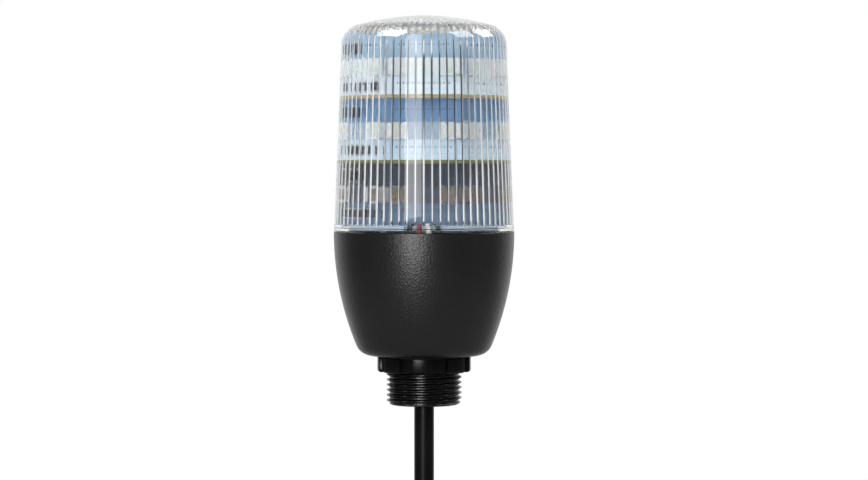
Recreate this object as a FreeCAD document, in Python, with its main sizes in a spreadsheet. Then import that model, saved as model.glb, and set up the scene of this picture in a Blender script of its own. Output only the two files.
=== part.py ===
import FreeCAD, Part
import math
import os

import Sketcher

# Compact three-tier LED stack light with a panel-mount stem and a fitted lead.
# Millimetres. Z runs up the axis. Z = 0 is the underside that seats on the panel.

doc = FreeCAD.newDocument("stack_light")
Vector = FreeCAD.Vector
UP = Vector(0, 0, 1)

SIZES = {
    # base housing, moulded in one with its M22 x 1.5 stem
    "base_r": (26.4, "outer radius at the top of the housing"),
    "base_h": (36.1, "height of the housing above the panel"),
    "barrel_r": (87.0, "radius of the barrelled side wall"),
    "foot_round": (4.8, "rounding between side wall and underside"),
    "base_wall": (2.4, "wall thickness of the housing"),
    "floor_t": (3.6, "thickness of the housing floor"),
    "mouth_wall": (2.25, "wall round the bore that takes the lens skirt"),
    "mouth_deep": (6.0, "depth of that bore"),
    "shelf_w": (1.65, "width of the seal shelf"),
    "shelf_t": (2.4, "thickness of the seal shelf"),
    "seat_w": (4.6, "underside outside the gasket groove, before its rounding"),
    "stem_r": (11.0, "major radius of the M22 thread"),
    "stem_len": (14.4, "length of the stem below the panel seat"),
    "stem_bore": (7.6, "bore of the stem"),
    "stem_bevel": (1.1, "bevel at the end of the thread"),
    "runin_top": (4.95, "depth at which the open run of the thread starts"),
    "runin_w": (0.7, "width of the first open root"),
    "runin_deep": (0.75, "depth of that root"),
    "boss_r": (3.0, "radius of a board post"),
    "boss_in": (3.34, "from the inside of the LED boards in to the post circle"),
    "boss_foot": (4.2, "radius of a post below the power board"),
    "pilot_r": (1.0, "pilot hole of a post"),
    "pilot_deep": (8.0, "depth of a pilot hole"),
    "boss_root": (0.5, "how far a post is rooted in the floor"),
    "runin_lead": (0.12, "bevel on either side of the first open root"),
    # seals and nut
    "gasket_in": (11.3, "inner radius of the panel gasket"),
    "gasket_out": (13.8, "outer radius of the panel gasket"),
    "gasket_t": (1.5, "thickness of the panel gasket"),
    "gasket_proud": (0.3, "how far the gasket stands out of its groove"),
    "gasket_play": (0.15, "side clearance of the gasket in its groove"),
    "nut_r": (13.7, "outer radius of the nut"),
    "nut_bore": (11.12, "bore of the nut over the thread"),
    "nut_h": (4.5, "height of the nut"),
    "nut_notch": (1.0, "depth of a grip notch"),
    "nut_notch_w": (3.5, "width of a grip notch"),
    "nut_round": (0.8, "rounding of the lower edge of the nut"),
    "seal_t": (1.0, "thickness of the lens seal"),
    "seal_play": (0.1, "side clearance of the lens seal"),
    # lens cover
    "lens_step": (0.05, "how far the lens stands inside the rim of the housing"),
    "total_h": (99.1, "top of the dome above the panel"),
    "lens_lean": (2.35, "how far the side wall leans in up to the crown"),
    "crown_r": (70.0, "spherical radius of the crown"),
    "shoulder": (6.0, "rounding between side wall and crown"),
    "lens_wall": (2.0, "wall thickness at the bottom of a groove"),
    "rib_h": (0.45, "height of a flute above its grooves"),
    "rib_up": (2.1, "height above the housing at which the flutes start"),
    "band_play": (0.12, "step from the grooves out to the plain band"),
    "ledge_t": (1.1, "thickness of the ledge above the skirt"),
    "skirt_play": (0.15, "clearance between skirt and housing"),
    "skirt_t": (1.7, "thickness of the skirt"),
    "skirt_len": (5.0, "length of the skirt"),
    # boards
    "board_t": (1.0, "thickness of a tier disc"),
    "carrier_t": (1.6, "thickness of the carrier board"),
    "carrier_up": (0.6, "underside of the carrier board above the housing"),
    "carrier_play": (0.7, "clearance between carrier board and skirt"),
    "slot_deep": (2.2, "depth of the wire slot in the carrier board"),
    "slot_w": (11.0, "width of the wire slot"),
    "crown_play": (0.33, "clearance between the upper LED boards and the dome"),
    "top_play": (0.38, "clearance between the top disc and the dome"),
    "led_t": (1.0, "thickness of an LED board"),
    "disc_play": (0.824, "clearance between a tier disc and the flutes"),
    "prism_play": (0.95, "clearance between the corners of the LED boards and the flutes"),
    "prism_gap": (0.3, "gap between neighbouring LED boards"),
    "led_w": (5.0, "side of an LED"),
    "led_h": (1.6, "height of an LED"),
    "led_dome": (1.9, "radius of the phosphor window"),
    "led_dish": (0.5, "depth of that window"),
    "led_pitch": (14.0, "distance between the two LEDs of a board"),
    "chip_w": (1.6, "width of a resistor"),
    "chip_t": (0.6, "thickness of a resistor"),
    "chip_h": (3.1, "length of a resistor"),
    "chip_pitch": (3.9, "distance between two resistors"),
    "chip2_w": (2.6, "width of a regulator"),
    "chip2_t": (1.1, "thickness of a regulator"),
    "chip2_h": (4.2, "height of a regulator"),
    "header_w": (10.2, "length of a pin header"),
    "header_t": (2.5, "width and height of a pin header"),
    "pin_pitch": (2.54, "distance between two pins"),
    "pin_w": (0.64, "side of a pin"),
    "power_play": (4.0, "how far the power board stays inside the shelf"),
    "power_down": (12.7, "from the carrier board down to the power board"),
    "post_play": (0.2, "clearance between a post and the power board"),
    "can_r": (4.0, "radius of the smoothing capacitor"),
    "can_h": (9.6, "height of the smoothing capacitor"),
    "can_round": (0.5, "rounding of its rim"),
    "can_x": (7.5, "place of the capacitor to the right of the axis"),
    "can_y": (2.0, "place of the capacitor behind the axis"),
    "bridge_w": (6.2, "width of the bridge rectifier"),
    "bridge_d": (8.4, "length of the bridge rectifier"),
    "bridge_h": (2.6, "height of the bridge rectifier"),
    "bridge_x": (10.5, "left side of the rectifier from the axis"),
    "bridge_y": (2.0, "front of the rectifier before the axis"),
    "power_pins": (7.35, "row of power pins before the axis"),
    "screw_head": (2.2, "radius of a screw head"),
    "screw_head_h": (1.6, "height of a screw head"),
    "screw_len": (7.0, "length of a screw under its head"),
    "screw_slot": (0.6, "width of a screw slot"),
    "screw_slot_deep": (0.8, "depth of a screw slot"),
    "screw_hole": (0.3, "play of a screw in the carrier board"),
    # lead
    "lead_r": (2.9, "radius of the lead"),
    "core_r": (0.75, "radius of an insulated core"),
    "core_pitch": (2.6, "distance between the cores at the wire slot"),
    "core_over": (0.5, "how far the cores reach over the carrier board"),
    "core_side": (0.85, "first place of a core beside the axis"),
    "core_back": (0.9, "first place of a core before or behind the axis"),
    "core_climb": (4.0, "first straight rise of the inner cores"),
    "core_pass": (2.5, "how much higher the outer cores run"),
    "core_out": (10.0, "distance at which the cores turn up, before the axis"),
    "core_under": (1.5, "turn of the outer cores below the power board"),
    "core_slope": (5.5, "rise of the cores on their way out"),
    "lead_top": (7.0, "height at which the jacket of the lead ends"),
    "grommet_up": (0.6, "underside of the grommet above the end of the stem"),
    "grommet_h": (10.0, "height of the grommet"),
    "hank_top": (42.0, "depth of the top of the hank"),
    "fold_r": (17.4, "radius of a fold of the hank"),
    "hank_half": (23.2, "half the distance between the two folds"),
    "waist": (11.1, "half width of the hank at its tie"),
    "fold_flat": (0.6, "how far the lead presses into the upper fold"),
    "tail_down": (19.0, "from the tie down to the end of the jacket"),
    "tail_len": (16.0, "length of the free tail"),
    "tip_spread": (1.25, "distance of the cores from the middle of the lead"),
    "tip_len": (5.5, "length of a core out of the jacket"),
    "bare_len": (3.5, "length of its stripped end"),
    "tie_w": (3.6, "width of the cable tie"),
    "tie_t": (1.1, "thickness of the cable tie"),
    "tie_play": (0.08, "clearance of the tie round the hank"),
    "tie_head": (5.0, "width of the head of the tie"),
    "tie_head_t": (3.4, "depth of that head"),
    "tie_head_h": (5.6, "height of that head"),
    "tie_head_x": (3.0, "left side of that head from the axis"),
}

FLUTES = 64
FACES = 6
DRIVERS = (2, 5)  # the two boards of a tier that carry its current drivers
CHIPS = 4
NOTCHES = 8
POSTS = 3
TIERS = ("lower", "middle", "upper")

# what follows from the sizes above, as expressions in their names
mouth_r = "({base_r} - {mouth_wall})"
shelf_r = "({base_r} - {mouth_wall} - {shelf_w})"
lens_r = "({base_r} - {lens_step})"
corner_r = "({base_r} - {lens_step} - {lens_lean})"
corner_z = "({total_h} - {crown_r} + sqrt({crown_r}^2 - " + corner_r + "^2))"
skirt_r = "(" + mouth_r + " - {skirt_play})"
skirt_in = "(" + skirt_r + " - {skirt_t})"
rib_start = "({base_h} + {rib_up})"
carrier_z = "({base_h} + {carrier_up})"
carrier_r = "(" + skirt_in + " - {carrier_play})"
inner_ball = "({crown_r} - {lens_wall} - {rib_h})"
prism_r = "(" + corner_r + " - {lens_wall} - {rib_h} - {prism_play})"
boards_top = (
    "({total_h} - {crown_r} - {crown_play} + sqrt(" + inner_ball + "^2 - " + prism_r + "^2))"
)
tier_h = "((" + boards_top + " - " + carrier_z + " - {carrier_t} - 2 * {board_t}) / 3)"
power_r = "(" + shelf_r + " - {power_play})"
power_z = "(" + carrier_z + " - {power_down})"
first_top = "(" + carrier_z + " + {carrier_t} + " + tier_h + ")"
second_top = "(" + first_top + " + " + tier_h + " + {board_t})"
third_top = "(" + second_top + " + " + tier_h + " + {board_t})"


def disc_r(top):
    """Radius of a tier disc whose underside lies at the height top, inside the flutes of the leaning wall."""
    lean = "{lens_lean} * (" + top + " + {board_t} - {base_h}) / (" + corner_z + " - {base_h})"
    return "(" + lens_r + " - " + lean + " - {lens_wall} - {rib_h} - {disc_play})"


top_rise = "(" + boards_top + " + {board_t} - {total_h} + {crown_r})"
top_disc_r = "(sqrt(" + inner_ball + "^2 - " + top_rise + "^2) - {top_play})"
boss_at = "(" + prism_r + " * cos(30 deg) - {led_t} - {boss_in})"

sheet = doc.addObject("Spreadsheet::Sheet", "size")
for row, (alias, (number, note)) in enumerate(SIZES.items(), start=1):
    sheet.set(f"A{row}", note)
    sheet.set(f"B{row}", str(number))
    sheet.setAlias(f"B{row}", alias)
doc.recompute()


def mm(words):
    """The value of an expression in sheet names."""
    return float(sheet.evalExpression(words))


def bound(words):
    """The same expression as other objects read it."""
    out = words
    for alias in sorted(SIZES, key=len, reverse=True):
        out = out.replace("{" + alias + "}", "size." + alias)
    return out


def value(words):
    plain = words
    for alias in SIZES:
        plain = plain.replace("{" + alias + "}", alias)
    return mm(plain)


# ---------------------------------------------------------------- helpers


def new_body(name):
    body = doc.addObject("PartDesign::Body", name)
    body.Label = name
    return body


def new_sketch(body, name, role, lift=None):
    sketch = body.newObject("Sketcher::SketchObject", name)
    plane = next(f for f in body.Origin.OriginFeatures if f.Role == role)
    sketch.AttachmentSupport = [(plane, "")]
    sketch.MapMode = "FlatFace"
    if lift:
        sketch.setExpression("AttachmentOffset.Base.z", bound(lift))
    return sketch


def pin_point(sketch, index, end, x, y):
    """Hold one point of a sketch at two bound distances from its origin."""
    for kind, words, axis in (("DistanceX", x, -2), ("DistanceY", y, -1)):
        at = value(words)
        if abs(at) < 1e-9:
            sketch.addConstraint(Sketcher.Constraint("PointOnObject", index, end, axis))
            continue
        if at > 0:
            rule = Sketcher.Constraint(kind, -1, 1, index, end, at)
            text = bound(words)
        else:
            rule = Sketcher.Constraint(kind, index, end, -1, 1, -at)
            text = "-(" + bound(words) + ")"
        number = sketch.addConstraint(rule)
        sketch.setExpression(f"Constraints[{number}]", text)


def arc_between(start, end, radius, side):
    """An arc from start to end; side is +1 when its centre lies to the left of the way there."""
    chord = end - start
    normal = Vector(-chord.y, chord.x, 0).normalize()
    rise = math.sqrt(radius * radius - chord.Length**2 / 4)
    centre = (start + end) * 0.5 + normal * (rise * side)
    first, last = (start, end) if side > 0 else (end, start)
    angles = [math.atan2(p.y - centre.y, p.x - centre.x) for p in (first, last)]
    if angles[1] < angles[0]:
        angles[1] += 2 * math.pi
    return Part.ArcOfCircle(Part.Circle(centre, UP, radius), *angles)


def outline(sketch, corners, arcs=None):
    """A closed outline. Each corner is a pair of expressions; arcs maps an edge to (radius, side)."""
    arcs = arcs or {}
    points = [Vector(value(x), value(y), 0) for x, y in corners]
    count = len(points)
    for i in range(count):
        start, end = points[i], points[(i + 1) % count]
        if i in arcs:
            radius, side = arcs[i]
            sketch.addGeometry(arc_between(start, end, value(radius), side), False)
        else:
            sketch.addGeometry(Part.LineSegment(start, end), False)
    ends = [(2, 1) if i in arcs and arcs[i][1] < 0 else (1, 2) for i in range(count)]
    for i in range(count):
        follow = (i + 1) % count
        sketch.addConstraint(
            Sketcher.Constraint("Coincident", i, ends[i][1], follow, ends[follow][0])
        )
        pin_point(sketch, i, ends[i][0], *corners[i])
    for i, (radius, _) in arcs.items():
        number = sketch.addConstraint(Sketcher.Constraint("Radius", i, value(radius)))
        sketch.setExpression(f"Constraints[{number}]", bound(radius))


def circle(sketch, radius, x="0", y="0"):
    index = sketch.addGeometry(
        Part.Circle(Vector(value(x), value(y), 0), UP, value(radius)), False
    )
    pin_point(sketch, index, 3, x, y)
    number = sketch.addConstraint(Sketcher.Constraint("Radius", index, value(radius)))
    sketch.setExpression(f"Constraints[{number}]", bound(radius))


def rectangle(sketch, left, bottom, right, top):
    outline(sketch, [(left, bottom), (right, bottom), (right, top), (left, top)])


def feature(body, kind, name, sketch, **words):
    made = body.newObject("PartDesign::" + kind, name)
    made.Profile = sketch
    sketch.Visibility = False
    for key, text in words.items():
        made.setExpression(key, bound(text))
    return made


def revolved(name, corners, arcs=None):
    body = new_body(name)
    sketch = new_sketch(body, name + "_section", "XZ_Plane")
    outline(sketch, corners, arcs)
    turned = body.newObject("PartDesign::Revolution", name + "_turned")
    turned.Profile = sketch
    turned.ReferenceAxis = (sketch, ["V_Axis"])
    turned.Angle = 360
    doc.recompute()
    return body


def padded(name, draw, height, lift="0"):
    """A body padded upwards from a sketch that lies at the height lift."""
    body = new_body(name)
    sketch = new_sketch(body, name + "_plan", "XY_Plane", lift)
    draw(sketch)
    feature(body, "Pad", name + "_pad", sketch, Length=height)
    doc.recompute()
    return body


def washer(name, outer, inner, height, lift):
    def draw(sketch):
        circle(sketch, outer)
        circle(sketch, inner)

    return padded(name, draw, height, lift)


def cut_down(body, name, sketch, **words):
    """A pocket that must take material away; its direction is turned when it doesn't."""
    before = body.Shape.Volume
    made = feature(body, "Pocket", name, sketch, **words)
    doc.recompute()
    if body.Shape.Volume > before - 1e-6:
        made.Reversed = not made.Reversed
        doc.recompute()
    return made


def around(body, name, source, count):
    pattern = body.newObject("PartDesign::PolarPattern", name)
    pattern.Originals = [source]
    axis = next(f for f in body.Origin.OriginFeatures if f.Role == "Z_Axis")
    pattern.Axis = (axis, [""])
    pattern.Angle = 360
    pattern.Occurrences = count
    body.Tip = pattern
    doc.recompute()
    return pattern


def edges_at(shape, radius, height):
    """Names of the full or part circles of one radius at one height."""
    found = []
    for number, edge in enumerate(shape.Edges, start=1):
        if edge.Degenerated:
            continue
        curve = edge.Curve
        if isinstance(curve, Part.Circle) and abs(curve.Radius - radius) < 0.02:
            if abs(curve.Center.z - height) < 0.02 and abs(abs(curve.Axis.z) - 1) < 1e-6:
                found.append(f"Edge{number}")
    return found


def rounded(body, name, radius, height, size_word):
    fillet = body.newObject("PartDesign::Fillet", name)
    base = body.Tip if body.Tip is not fillet else fillet.BaseFeature
    fillet.Base = (base, edges_at(base.Shape, radius, height))
    fillet.setExpression("Radius", bound(size_word))
    body.Tip = fillet
    doc.recompute()
    return fillet


def solid_part(name, shape):
    """A plain feature, for forms that follow computed lines."""
    made = doc.addObject("Part::Feature", name)
    made.Label = name
    made.Shape = shape
    return made


def turned_about_z(shape, degrees):
    copy = shape.copy()
    copy.rotate(Vector(0, 0, 0), UP, degrees)
    return copy


def tube(points, radius):
    """A round tube along straight runs joined by tangent arcs. Returns the solid and its bend radii."""
    edges, radii = [], []
    start = points[0]
    for before, corner, after in zip(points, points[1:], points[2:]):
        inward, outward = (corner - before).normalize(), (after - corner).normalize()
        turn = inward.getAngle(outward)
        shorter = min((corner - before).Length, (after - corner).Length)
        reach = 0.45 * shorter
        bend = reach / math.tan(turn / 2)
        first, last = corner - inward * reach, corner + outward * reach
        bisector = (outward - inward).normalize()
        middle = corner + bisector * (bend / math.cos(turn / 2) - bend)
        edges.append(Part.LineSegment(start, first).toShape())
        edges.append(Part.Arc(first, middle, last).toShape())
        radii.append(bend)
        start = last
    edges.append(Part.LineSegment(start, points[-1]).toShape())
    path = Part.Wire(edges)
    along = (points[1] - points[0]).normalize()
    section = Part.Wire([Part.makeCircle(radius, points[0], along)])
    solid = path.makePipeShell([section], True, False)
    if solid.Volume < 0:
        solid.reverse()
    wanted = math.pi * radius * radius * path.Length
    print(f"tube length {path.Length:.2f} volume {solid.Volume / wanted:.4f} bends", [round(r, 2) for r in radii])
    return solid


# ---------------------------------------------------------------- base housing

underside_r = "({gasket_out} + {gasket_play} + {seat_w})"
floor_in_r = underside_r + " + {floor_t} * 0.4 - {base_wall}"
groove_deep = "{gasket_t} - {gasket_proud}"
runin_bottom = "-({runin_top} + {runin_w})"

housing = revolved(
    "base_housing",
    [
        ("{stem_bore}", "{floor_t}"),
        ("{stem_bore}", "-{stem_len}"),
        ("{stem_r} - {stem_bevel}", "-{stem_len}"),
        ("{stem_r}", "-{stem_len} + {stem_bevel} * 0.8"),
        ("{stem_r}", runin_bottom),
        ("{stem_r} - {runin_deep}", runin_bottom + " + {runin_lead}"),
        ("{stem_r} - {runin_deep}", "-{runin_top} - {runin_lead}"),
        ("{stem_r}", "-{runin_top}"),
        ("{stem_r}", groove_deep),
        ("{gasket_out} + {gasket_play}", groove_deep),
        ("{gasket_out} + {gasket_play}", "0"),
        (underside_r, "0"),
        ("{base_r}", "{base_h}"),
        (mouth_r, "{base_h}"),
        (mouth_r, "{base_h} - {mouth_deep}"),
        (shelf_r, "{base_h} - {mouth_deep}"),
        (shelf_r, "{base_h} - {mouth_deep} - {shelf_t}"),
        (floor_in_r, "{floor_t}"),
    ],
    {
        11: ("{barrel_r}", 1),
        16: ("{barrel_r}", -1),
    },
)
rounded(housing, "foot_rounding", value(underside_r), 0.0, "{foot_round}")

root = "{floor_t} - {boss_root}"
posts = new_sketch(housing, "post_plan", "XY_Plane", root)
circle(posts, "{boss_r}", "0", boss_at)
post = feature(housing, "Pad", "post", posts, Length=f"{carrier_z} - ({root})")
shoulders = new_sketch(housing, "post_foot_plan", "XY_Plane", root)
circle(shoulders, "{boss_foot}", "0", boss_at)
post_foot = feature(
    housing, "Pad", "post_foot", shoulders, Length=f"{power_z} - ({root})"
)
doc.recompute()
pilots = new_sketch(housing, "pilot_plan", "XY_Plane", carrier_z)
circle(pilots, "{pilot_r}", "0", boss_at)
pilot = cut_down(housing, "pilot", pilots, Length="{pilot_deep}")
both = housing.newObject("PartDesign::PolarPattern", "posts_around")
both.Originals = [post, post_foot, pilot]
both.Axis = (next(f for f in housing.Origin.OriginFeatures if f.Role == "Z_Axis"), [""])
both.Angle = 360
both.Occurrences = POSTS
housing.Tip = both
doc.recompute()

# ---------------------------------------------------------------- seals and nut

washer("panel_gasket", "{gasket_out}", "{gasket_in}", "{gasket_t}", "-{gasket_proud}")
washer(
    "lens_seal",
    mouth_r + " - {seal_play}",
    shelf_r,
    "{seal_t}",
    "{base_h} - {mouth_deep}",
)

nut = washer(
    "mounting_nut", "{nut_r}", "{nut_bore}", "{nut_h}", "-{gasket_proud} - {nut_h}"
)
rounded(
    nut,
    "nut_edge",
    value("{nut_r}"),
    value("-{gasket_proud} - {nut_h}"),
    "{nut_round}",
)
notches = new_sketch(nut, "notch_plan", "XY_Plane", "-{gasket_proud} - {nut_h}")
notches.AttachmentOffset = FreeCAD.Placement(
    Vector(0, 0, value("-{gasket_proud} - {nut_h}")),
    FreeCAD.Rotation(UP, 180.0 / NOTCHES),
)
rectangle(
    notches,
    "-{nut_notch_w} / 2",
    "{nut_r} - {nut_notch}",
    "{nut_notch_w} / 2",
    "{nut_r} + 1",
)
notch = cut_down(nut, "notch", notches, Length="{nut_h} + 1")
around(nut, "notches_around", notch, NOTCHES)

# ---------------------------------------------------------------- lens cover

lens = new_body("lens_cover")
lens_section = new_sketch(lens, "lens_section", "XZ_Plane")
band_r = lens_r + " - {lens_wall} + {band_play}"
outline(
    lens_section,
    [
        ("0", rib_start),
        (band_r, rib_start),
        (band_r, "{base_h} + {ledge_t}"),
        (skirt_in, "{base_h} + {ledge_t}"),
        (skirt_in, "{base_h} - {skirt_len}"),
        (skirt_r, "{base_h} - {skirt_len}"),
        (skirt_r, "{base_h}"),
        (lens_r, "{base_h}"),
        (corner_r, corner_z),
        ("0", "{total_h}"),
    ],
    {8: ("{crown_r}", 1)},
)
turned = lens.newObject("PartDesign::Revolution", "lens_turned")
turned.Profile = lens_section
turned.ReferenceAxis = (lens_section, ["V_Axis"])
turned.Angle = 360
doc.recompute()
rounded(lens, "lens_shoulder", value(corner_r), value(corner_z), "{shoulder}")


def inner_profile(inset):
    """The inside of the wall in section, as (radius, height) pairs from the foot to near the axis."""
    draft = math.atan2(value("{lens_lean}"), value(corner_z + " - {base_h}"))
    foot_z = value(rib_start) - 0.6
    foot_r = value(lens_r) - (foot_z - value("{base_h}")) * math.tan(draft)
    crown_z = value("{total_h} - {crown_r}")
    ball = value("{crown_r}") - value("{shoulder}")
    # centre of the shoulder: one rounding inside the wall and one inside the crown
    line_r = value(lens_r) - value("{shoulder}") / math.cos(draft)
    slope = -math.tan(draft)
    a = 1 + slope * slope
    rise = value("{base_h}") - crown_z
    b = 2 * (slope * line_r + rise)
    c = line_r * line_r + rise * rise - ball * ball
    up = (-b + math.sqrt(b * b - 4 * a * c)) / (2 * a)
    centre = Vector(line_r + slope * up, 0, value("{base_h}") + up)
    bend = value("{shoulder}") - inset
    over = math.atan2(centre.x, centre.z - crown_z)
    stations = [(foot_r - inset / math.cos(draft), foot_z)]
    low = math.asin(math.sin(draft))
    high = math.pi / 2 - over
    for step in range(SHOULDER_STEPS + 1):
        angle = low + (high - low) * step / SHOULDER_STEPS
        stations.append(
            (centre.x + bend * math.cos(angle), centre.z + bend * math.sin(angle))
        )
    inside = value("{crown_r}") - inset
    for step in range(1, CROWN_STEPS + 1):
        angle = over + (CROWN_END - over) * step / CROWN_STEPS
        stations.append((inside * math.sin(angle), crown_z + inside * math.cos(angle)))
    return stations


SHOULDER_STEPS = 3
CROWN_STEPS = 3
CROWN_END = math.radians(5.0)


def fluted_wire(groove, crest):
    """One ring of the core: an arc for each flute, from groove to groove over its crest."""
    pitch = 2 * math.pi / FLUTES
    arcs = []
    for i in range(FLUTES):
        places = []
        for turn, (radius, height) in (
            (i * pitch, groove),
            ((i + 0.5) * pitch, crest),
            ((i + 1) * pitch, groove),
        ):
            places.append(
                Vector(radius * math.sin(turn), -radius * math.cos(turn), height)
            )
        arcs.append(Part.Arc(*places).toShape())
    return Part.Wire(arcs)


grooves = inner_profile(value("{lens_wall}"))
crests = inner_profile(value("{lens_wall} + {rib_h}"))
rings = [fluted_wire(g, c) for g, c in zip(grooves, crests)]
# the flutes run out near the middle of the crown, on a plain ring
end_r, end_z = crests[-1]
rings.append(fluted_wire((end_r * 0.55, end_z), (end_r * 0.55, end_z)))
core = doc.addObject("Part::Feature", "flute_core")
core.Shape = Part.makeLoft(rings, True, True)
lens_cut = doc.addObject("Part::Cut", "lens_cover_cut")
lens_cut.Base = lens
lens_cut.Tool = core
doc.recompute()

# ---------------------------------------------------------------- boards and LEDs


def board_disc(name, radius, thick, lift):
    return padded(name, lambda sketch: circle(sketch, radius), thick, lift)


carrier_top = carrier_z + " + {carrier_t}"
tier_z = {}
level = value(carrier_top)
for tier in TIERS:
    tier_z[tier] = level
    level += value(tier_h + " + {board_t}")

carrier = board_disc("carrier_board", carrier_r, "{carrier_t}", carrier_z)
holes = new_sketch(carrier, "carrier_holes", "XY_Plane", carrier_top)
circle(holes, "{pilot_r} + {screw_hole}", "0", boss_at)
hole = cut_down(carrier, "carrier_hole", holes, Length="{carrier_t} + 1")
around(carrier, "carrier_holes_around", hole, POSTS)
slot = new_sketch(carrier, "wire_slot", "XY_Plane", carrier_top)
slot_back = "-" + carrier_r + " + {slot_deep}"
rectangle(slot, "-{slot_w} / 2", "-" + carrier_r + " - 1", "{slot_w} / 2", slot_back)
cut_down(carrier, "wire_slot_cut", slot, Length="{carrier_t} + 1")

board_disc("lower_tier_disc", disc_r(first_top), "{board_t}", first_top)
board_disc("middle_tier_disc", disc_r(second_top), "{board_t}", second_top)
board_disc("top_disc", top_disc_r, "{board_t}", third_top)

apothem = value(prism_r) * math.cos(math.pi / FACES)
face_w = "2 * (" + prism_r + " * cos(30 deg) - {led_t}) * tan(30 deg) - {prism_gap}"


def on_face(shape, face):
    """Turn a shape drawn on the front face to another face of the ring."""
    return turned_about_z(shape, 360.0 * face / FACES)


def block(width, deep, high, x, out, z):
    """A block on the front face: centred at x, its back at the distance out, its middle at z."""
    return Part.makeBox(width, deep, high, Vector(x - width / 2, -out - deep, z - high / 2))


def pin_header(y, low, high):
    """Four pins in a plastic strip, standing from low up to high."""
    wide, thick, pin = value("{header_w}"), value("{header_t}"), value("{pin_w}")
    made = [Part.makeBox(wide, thick, thick, Vector(-wide / 2, y - thick / 2, low))]
    for number in range(4):
        x = (number - 1.5) * value("{pin_pitch}")
        at = Vector(x - pin / 2, y - pin / 2, low + thick)
        made.append(Part.makeBox(pin, pin, high - low - thick, at))
    return made[0].fuse(made[1:])


for tier in TIERS:
    low = tier_z[tier]
    high = low + value(tier_h)
    middle = (low + high) / 2
    front = apothem
    for face in range(FACES):
        name = f"{tier}_led_board_{face + 1}"
        box = doc.addObject("Part::Box", name)
        box.Label = name
        box.setExpression("Length", bound(face_w))
        box.setExpression("Width", bound("{led_t}"))
        box.setExpression("Height", bound(tier_h))
        spin = FreeCAD.Rotation(UP, 360.0 * face / FACES)
        box.Placement = FreeCAD.Placement(
            spin.multVec(Vector(-value(face_w) / 2, -front, low)), spin
        )
    leds, resistors, regulators = [], [], []
    led_x = value("{led_pitch}") / 2
    chips = [(n - (CHIPS - 1) / 2) * value("{chip_pitch}") for n in range(CHIPS)]
    # the small parts stand midway between the LEDs and the edges of their board
    half_led = value("{led_w}") / 2
    below, above = (low + middle - half_led) / 2, (high + middle + half_led) / 2
    for face in range(FACES):
        for x in (-led_x, led_x):
            led = block(value("{led_w}"), value("{led_h}"), value("{led_w}"), x, front, middle)
            window = Part.makeCylinder(
                value("{led_dome}"),
                value("{led_dish}"),
                Vector(x, -front - value("{led_h}"), middle),
                Vector(0, 1, 0),
            )
            leds.append(on_face(led.cut(window), face))
        if face not in DRIVERS:
            continue
        for x in chips:
            chip = block(value("{chip_w}"), value("{chip_t}"), value("{chip_h}"), x, front, below)
            resistors.append(on_face(chip, face))
        chip = block(value("{chip2_w}"), value("{chip2_t}"), value("{chip2_h}"), -led_x, front, above)
        regulators.append(on_face(chip, face))
    solid_part(f"{tier}_leds", Part.makeCompound(leds))
    solid_part(f"{tier}_resistors", Part.makeCompound(resistors))
    solid_part(f"{tier}_regulators", Part.makeCompound(regulators))
    solid_part(f"{tier}_header", pin_header(0, low, high))

# ---------------------------------------------------------------- power board

power = board_disc("power_board", power_r, "{carrier_t}", power_z)
clear = new_sketch(power, "post_clearance", "XY_Plane", power_z + " + {carrier_t}")
circle(clear, "{boss_r} + {post_play}", "0", boss_at)
post_hole = cut_down(power, "post_hole", clear, Length="{carrier_t} + 1")
around(power, "post_holes", post_hole, POSTS)

power_top = value(power_z + " + {carrier_t}")
can_h = value("{can_h}")
can = Part.makeCylinder(
    value("{can_r}"), can_h, Vector(value("{can_x}"), value("{can_y}"), power_top), UP
)
rim = [e for e in can.Edges if abs(e.BoundBox.ZMin - power_top - can_h) < 1e-3]
solid_part("smoothing_capacitor", can.makeFillet(value("{can_round}"), rim))
bridge = Part.makeBox(
    value("{bridge_w}"),
    value("{bridge_d}"),
    value("{bridge_h}"),
    Vector(-value("{bridge_x}"), -value("{bridge_y}"), power_top),
)
solid_part("bridge_rectifier", bridge)
solid_part("power_header", pin_header(-value("{power_pins}"), power_top, value(carrier_z)))

seat = value(carrier_top)
middle_y = value(boss_at)
head_r, head_h = value("{screw_head}"), value("{screw_head_h}")
long, wide, deep = value("{screw_len}"), value("{screw_slot}"), value("{screw_slot_deep}")
head = Part.makeCylinder(head_r, head_h, Vector(0, middle_y, seat), UP)
shank = Part.makeCylinder(value("{pilot_r}") - 0.02, long, Vector(0, middle_y, seat - long), UP)
cross = Part.makeBox(head_r, wide, deep, Vector(-head_r / 2, middle_y - wide / 2, seat + head_h - deep))
screw = head.fuse(shank).removeSplitter().cut(cross)
screws = [turned_about_z(screw, 360.0 * n / POSTS) for n in range(POSTS)]
solid_part("carrier_screws", Part.makeCompound(screws))

# ---------------------------------------------------------------- lead

stem_end = value("-{stem_len}")
lead_r = value("{lead_r}")
lead_top = value("{lead_top}")

washer(
    "cable_grommet", "{stem_bore}", "{lead_r}", "{grommet_h}", "-{stem_len} + {grommet_up}"
)
solid_part(
    "lead_inner_end",
    Part.makeCylinder(lead_r, lead_top - stem_end, Vector(0, 0, stem_end), UP),
)

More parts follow.
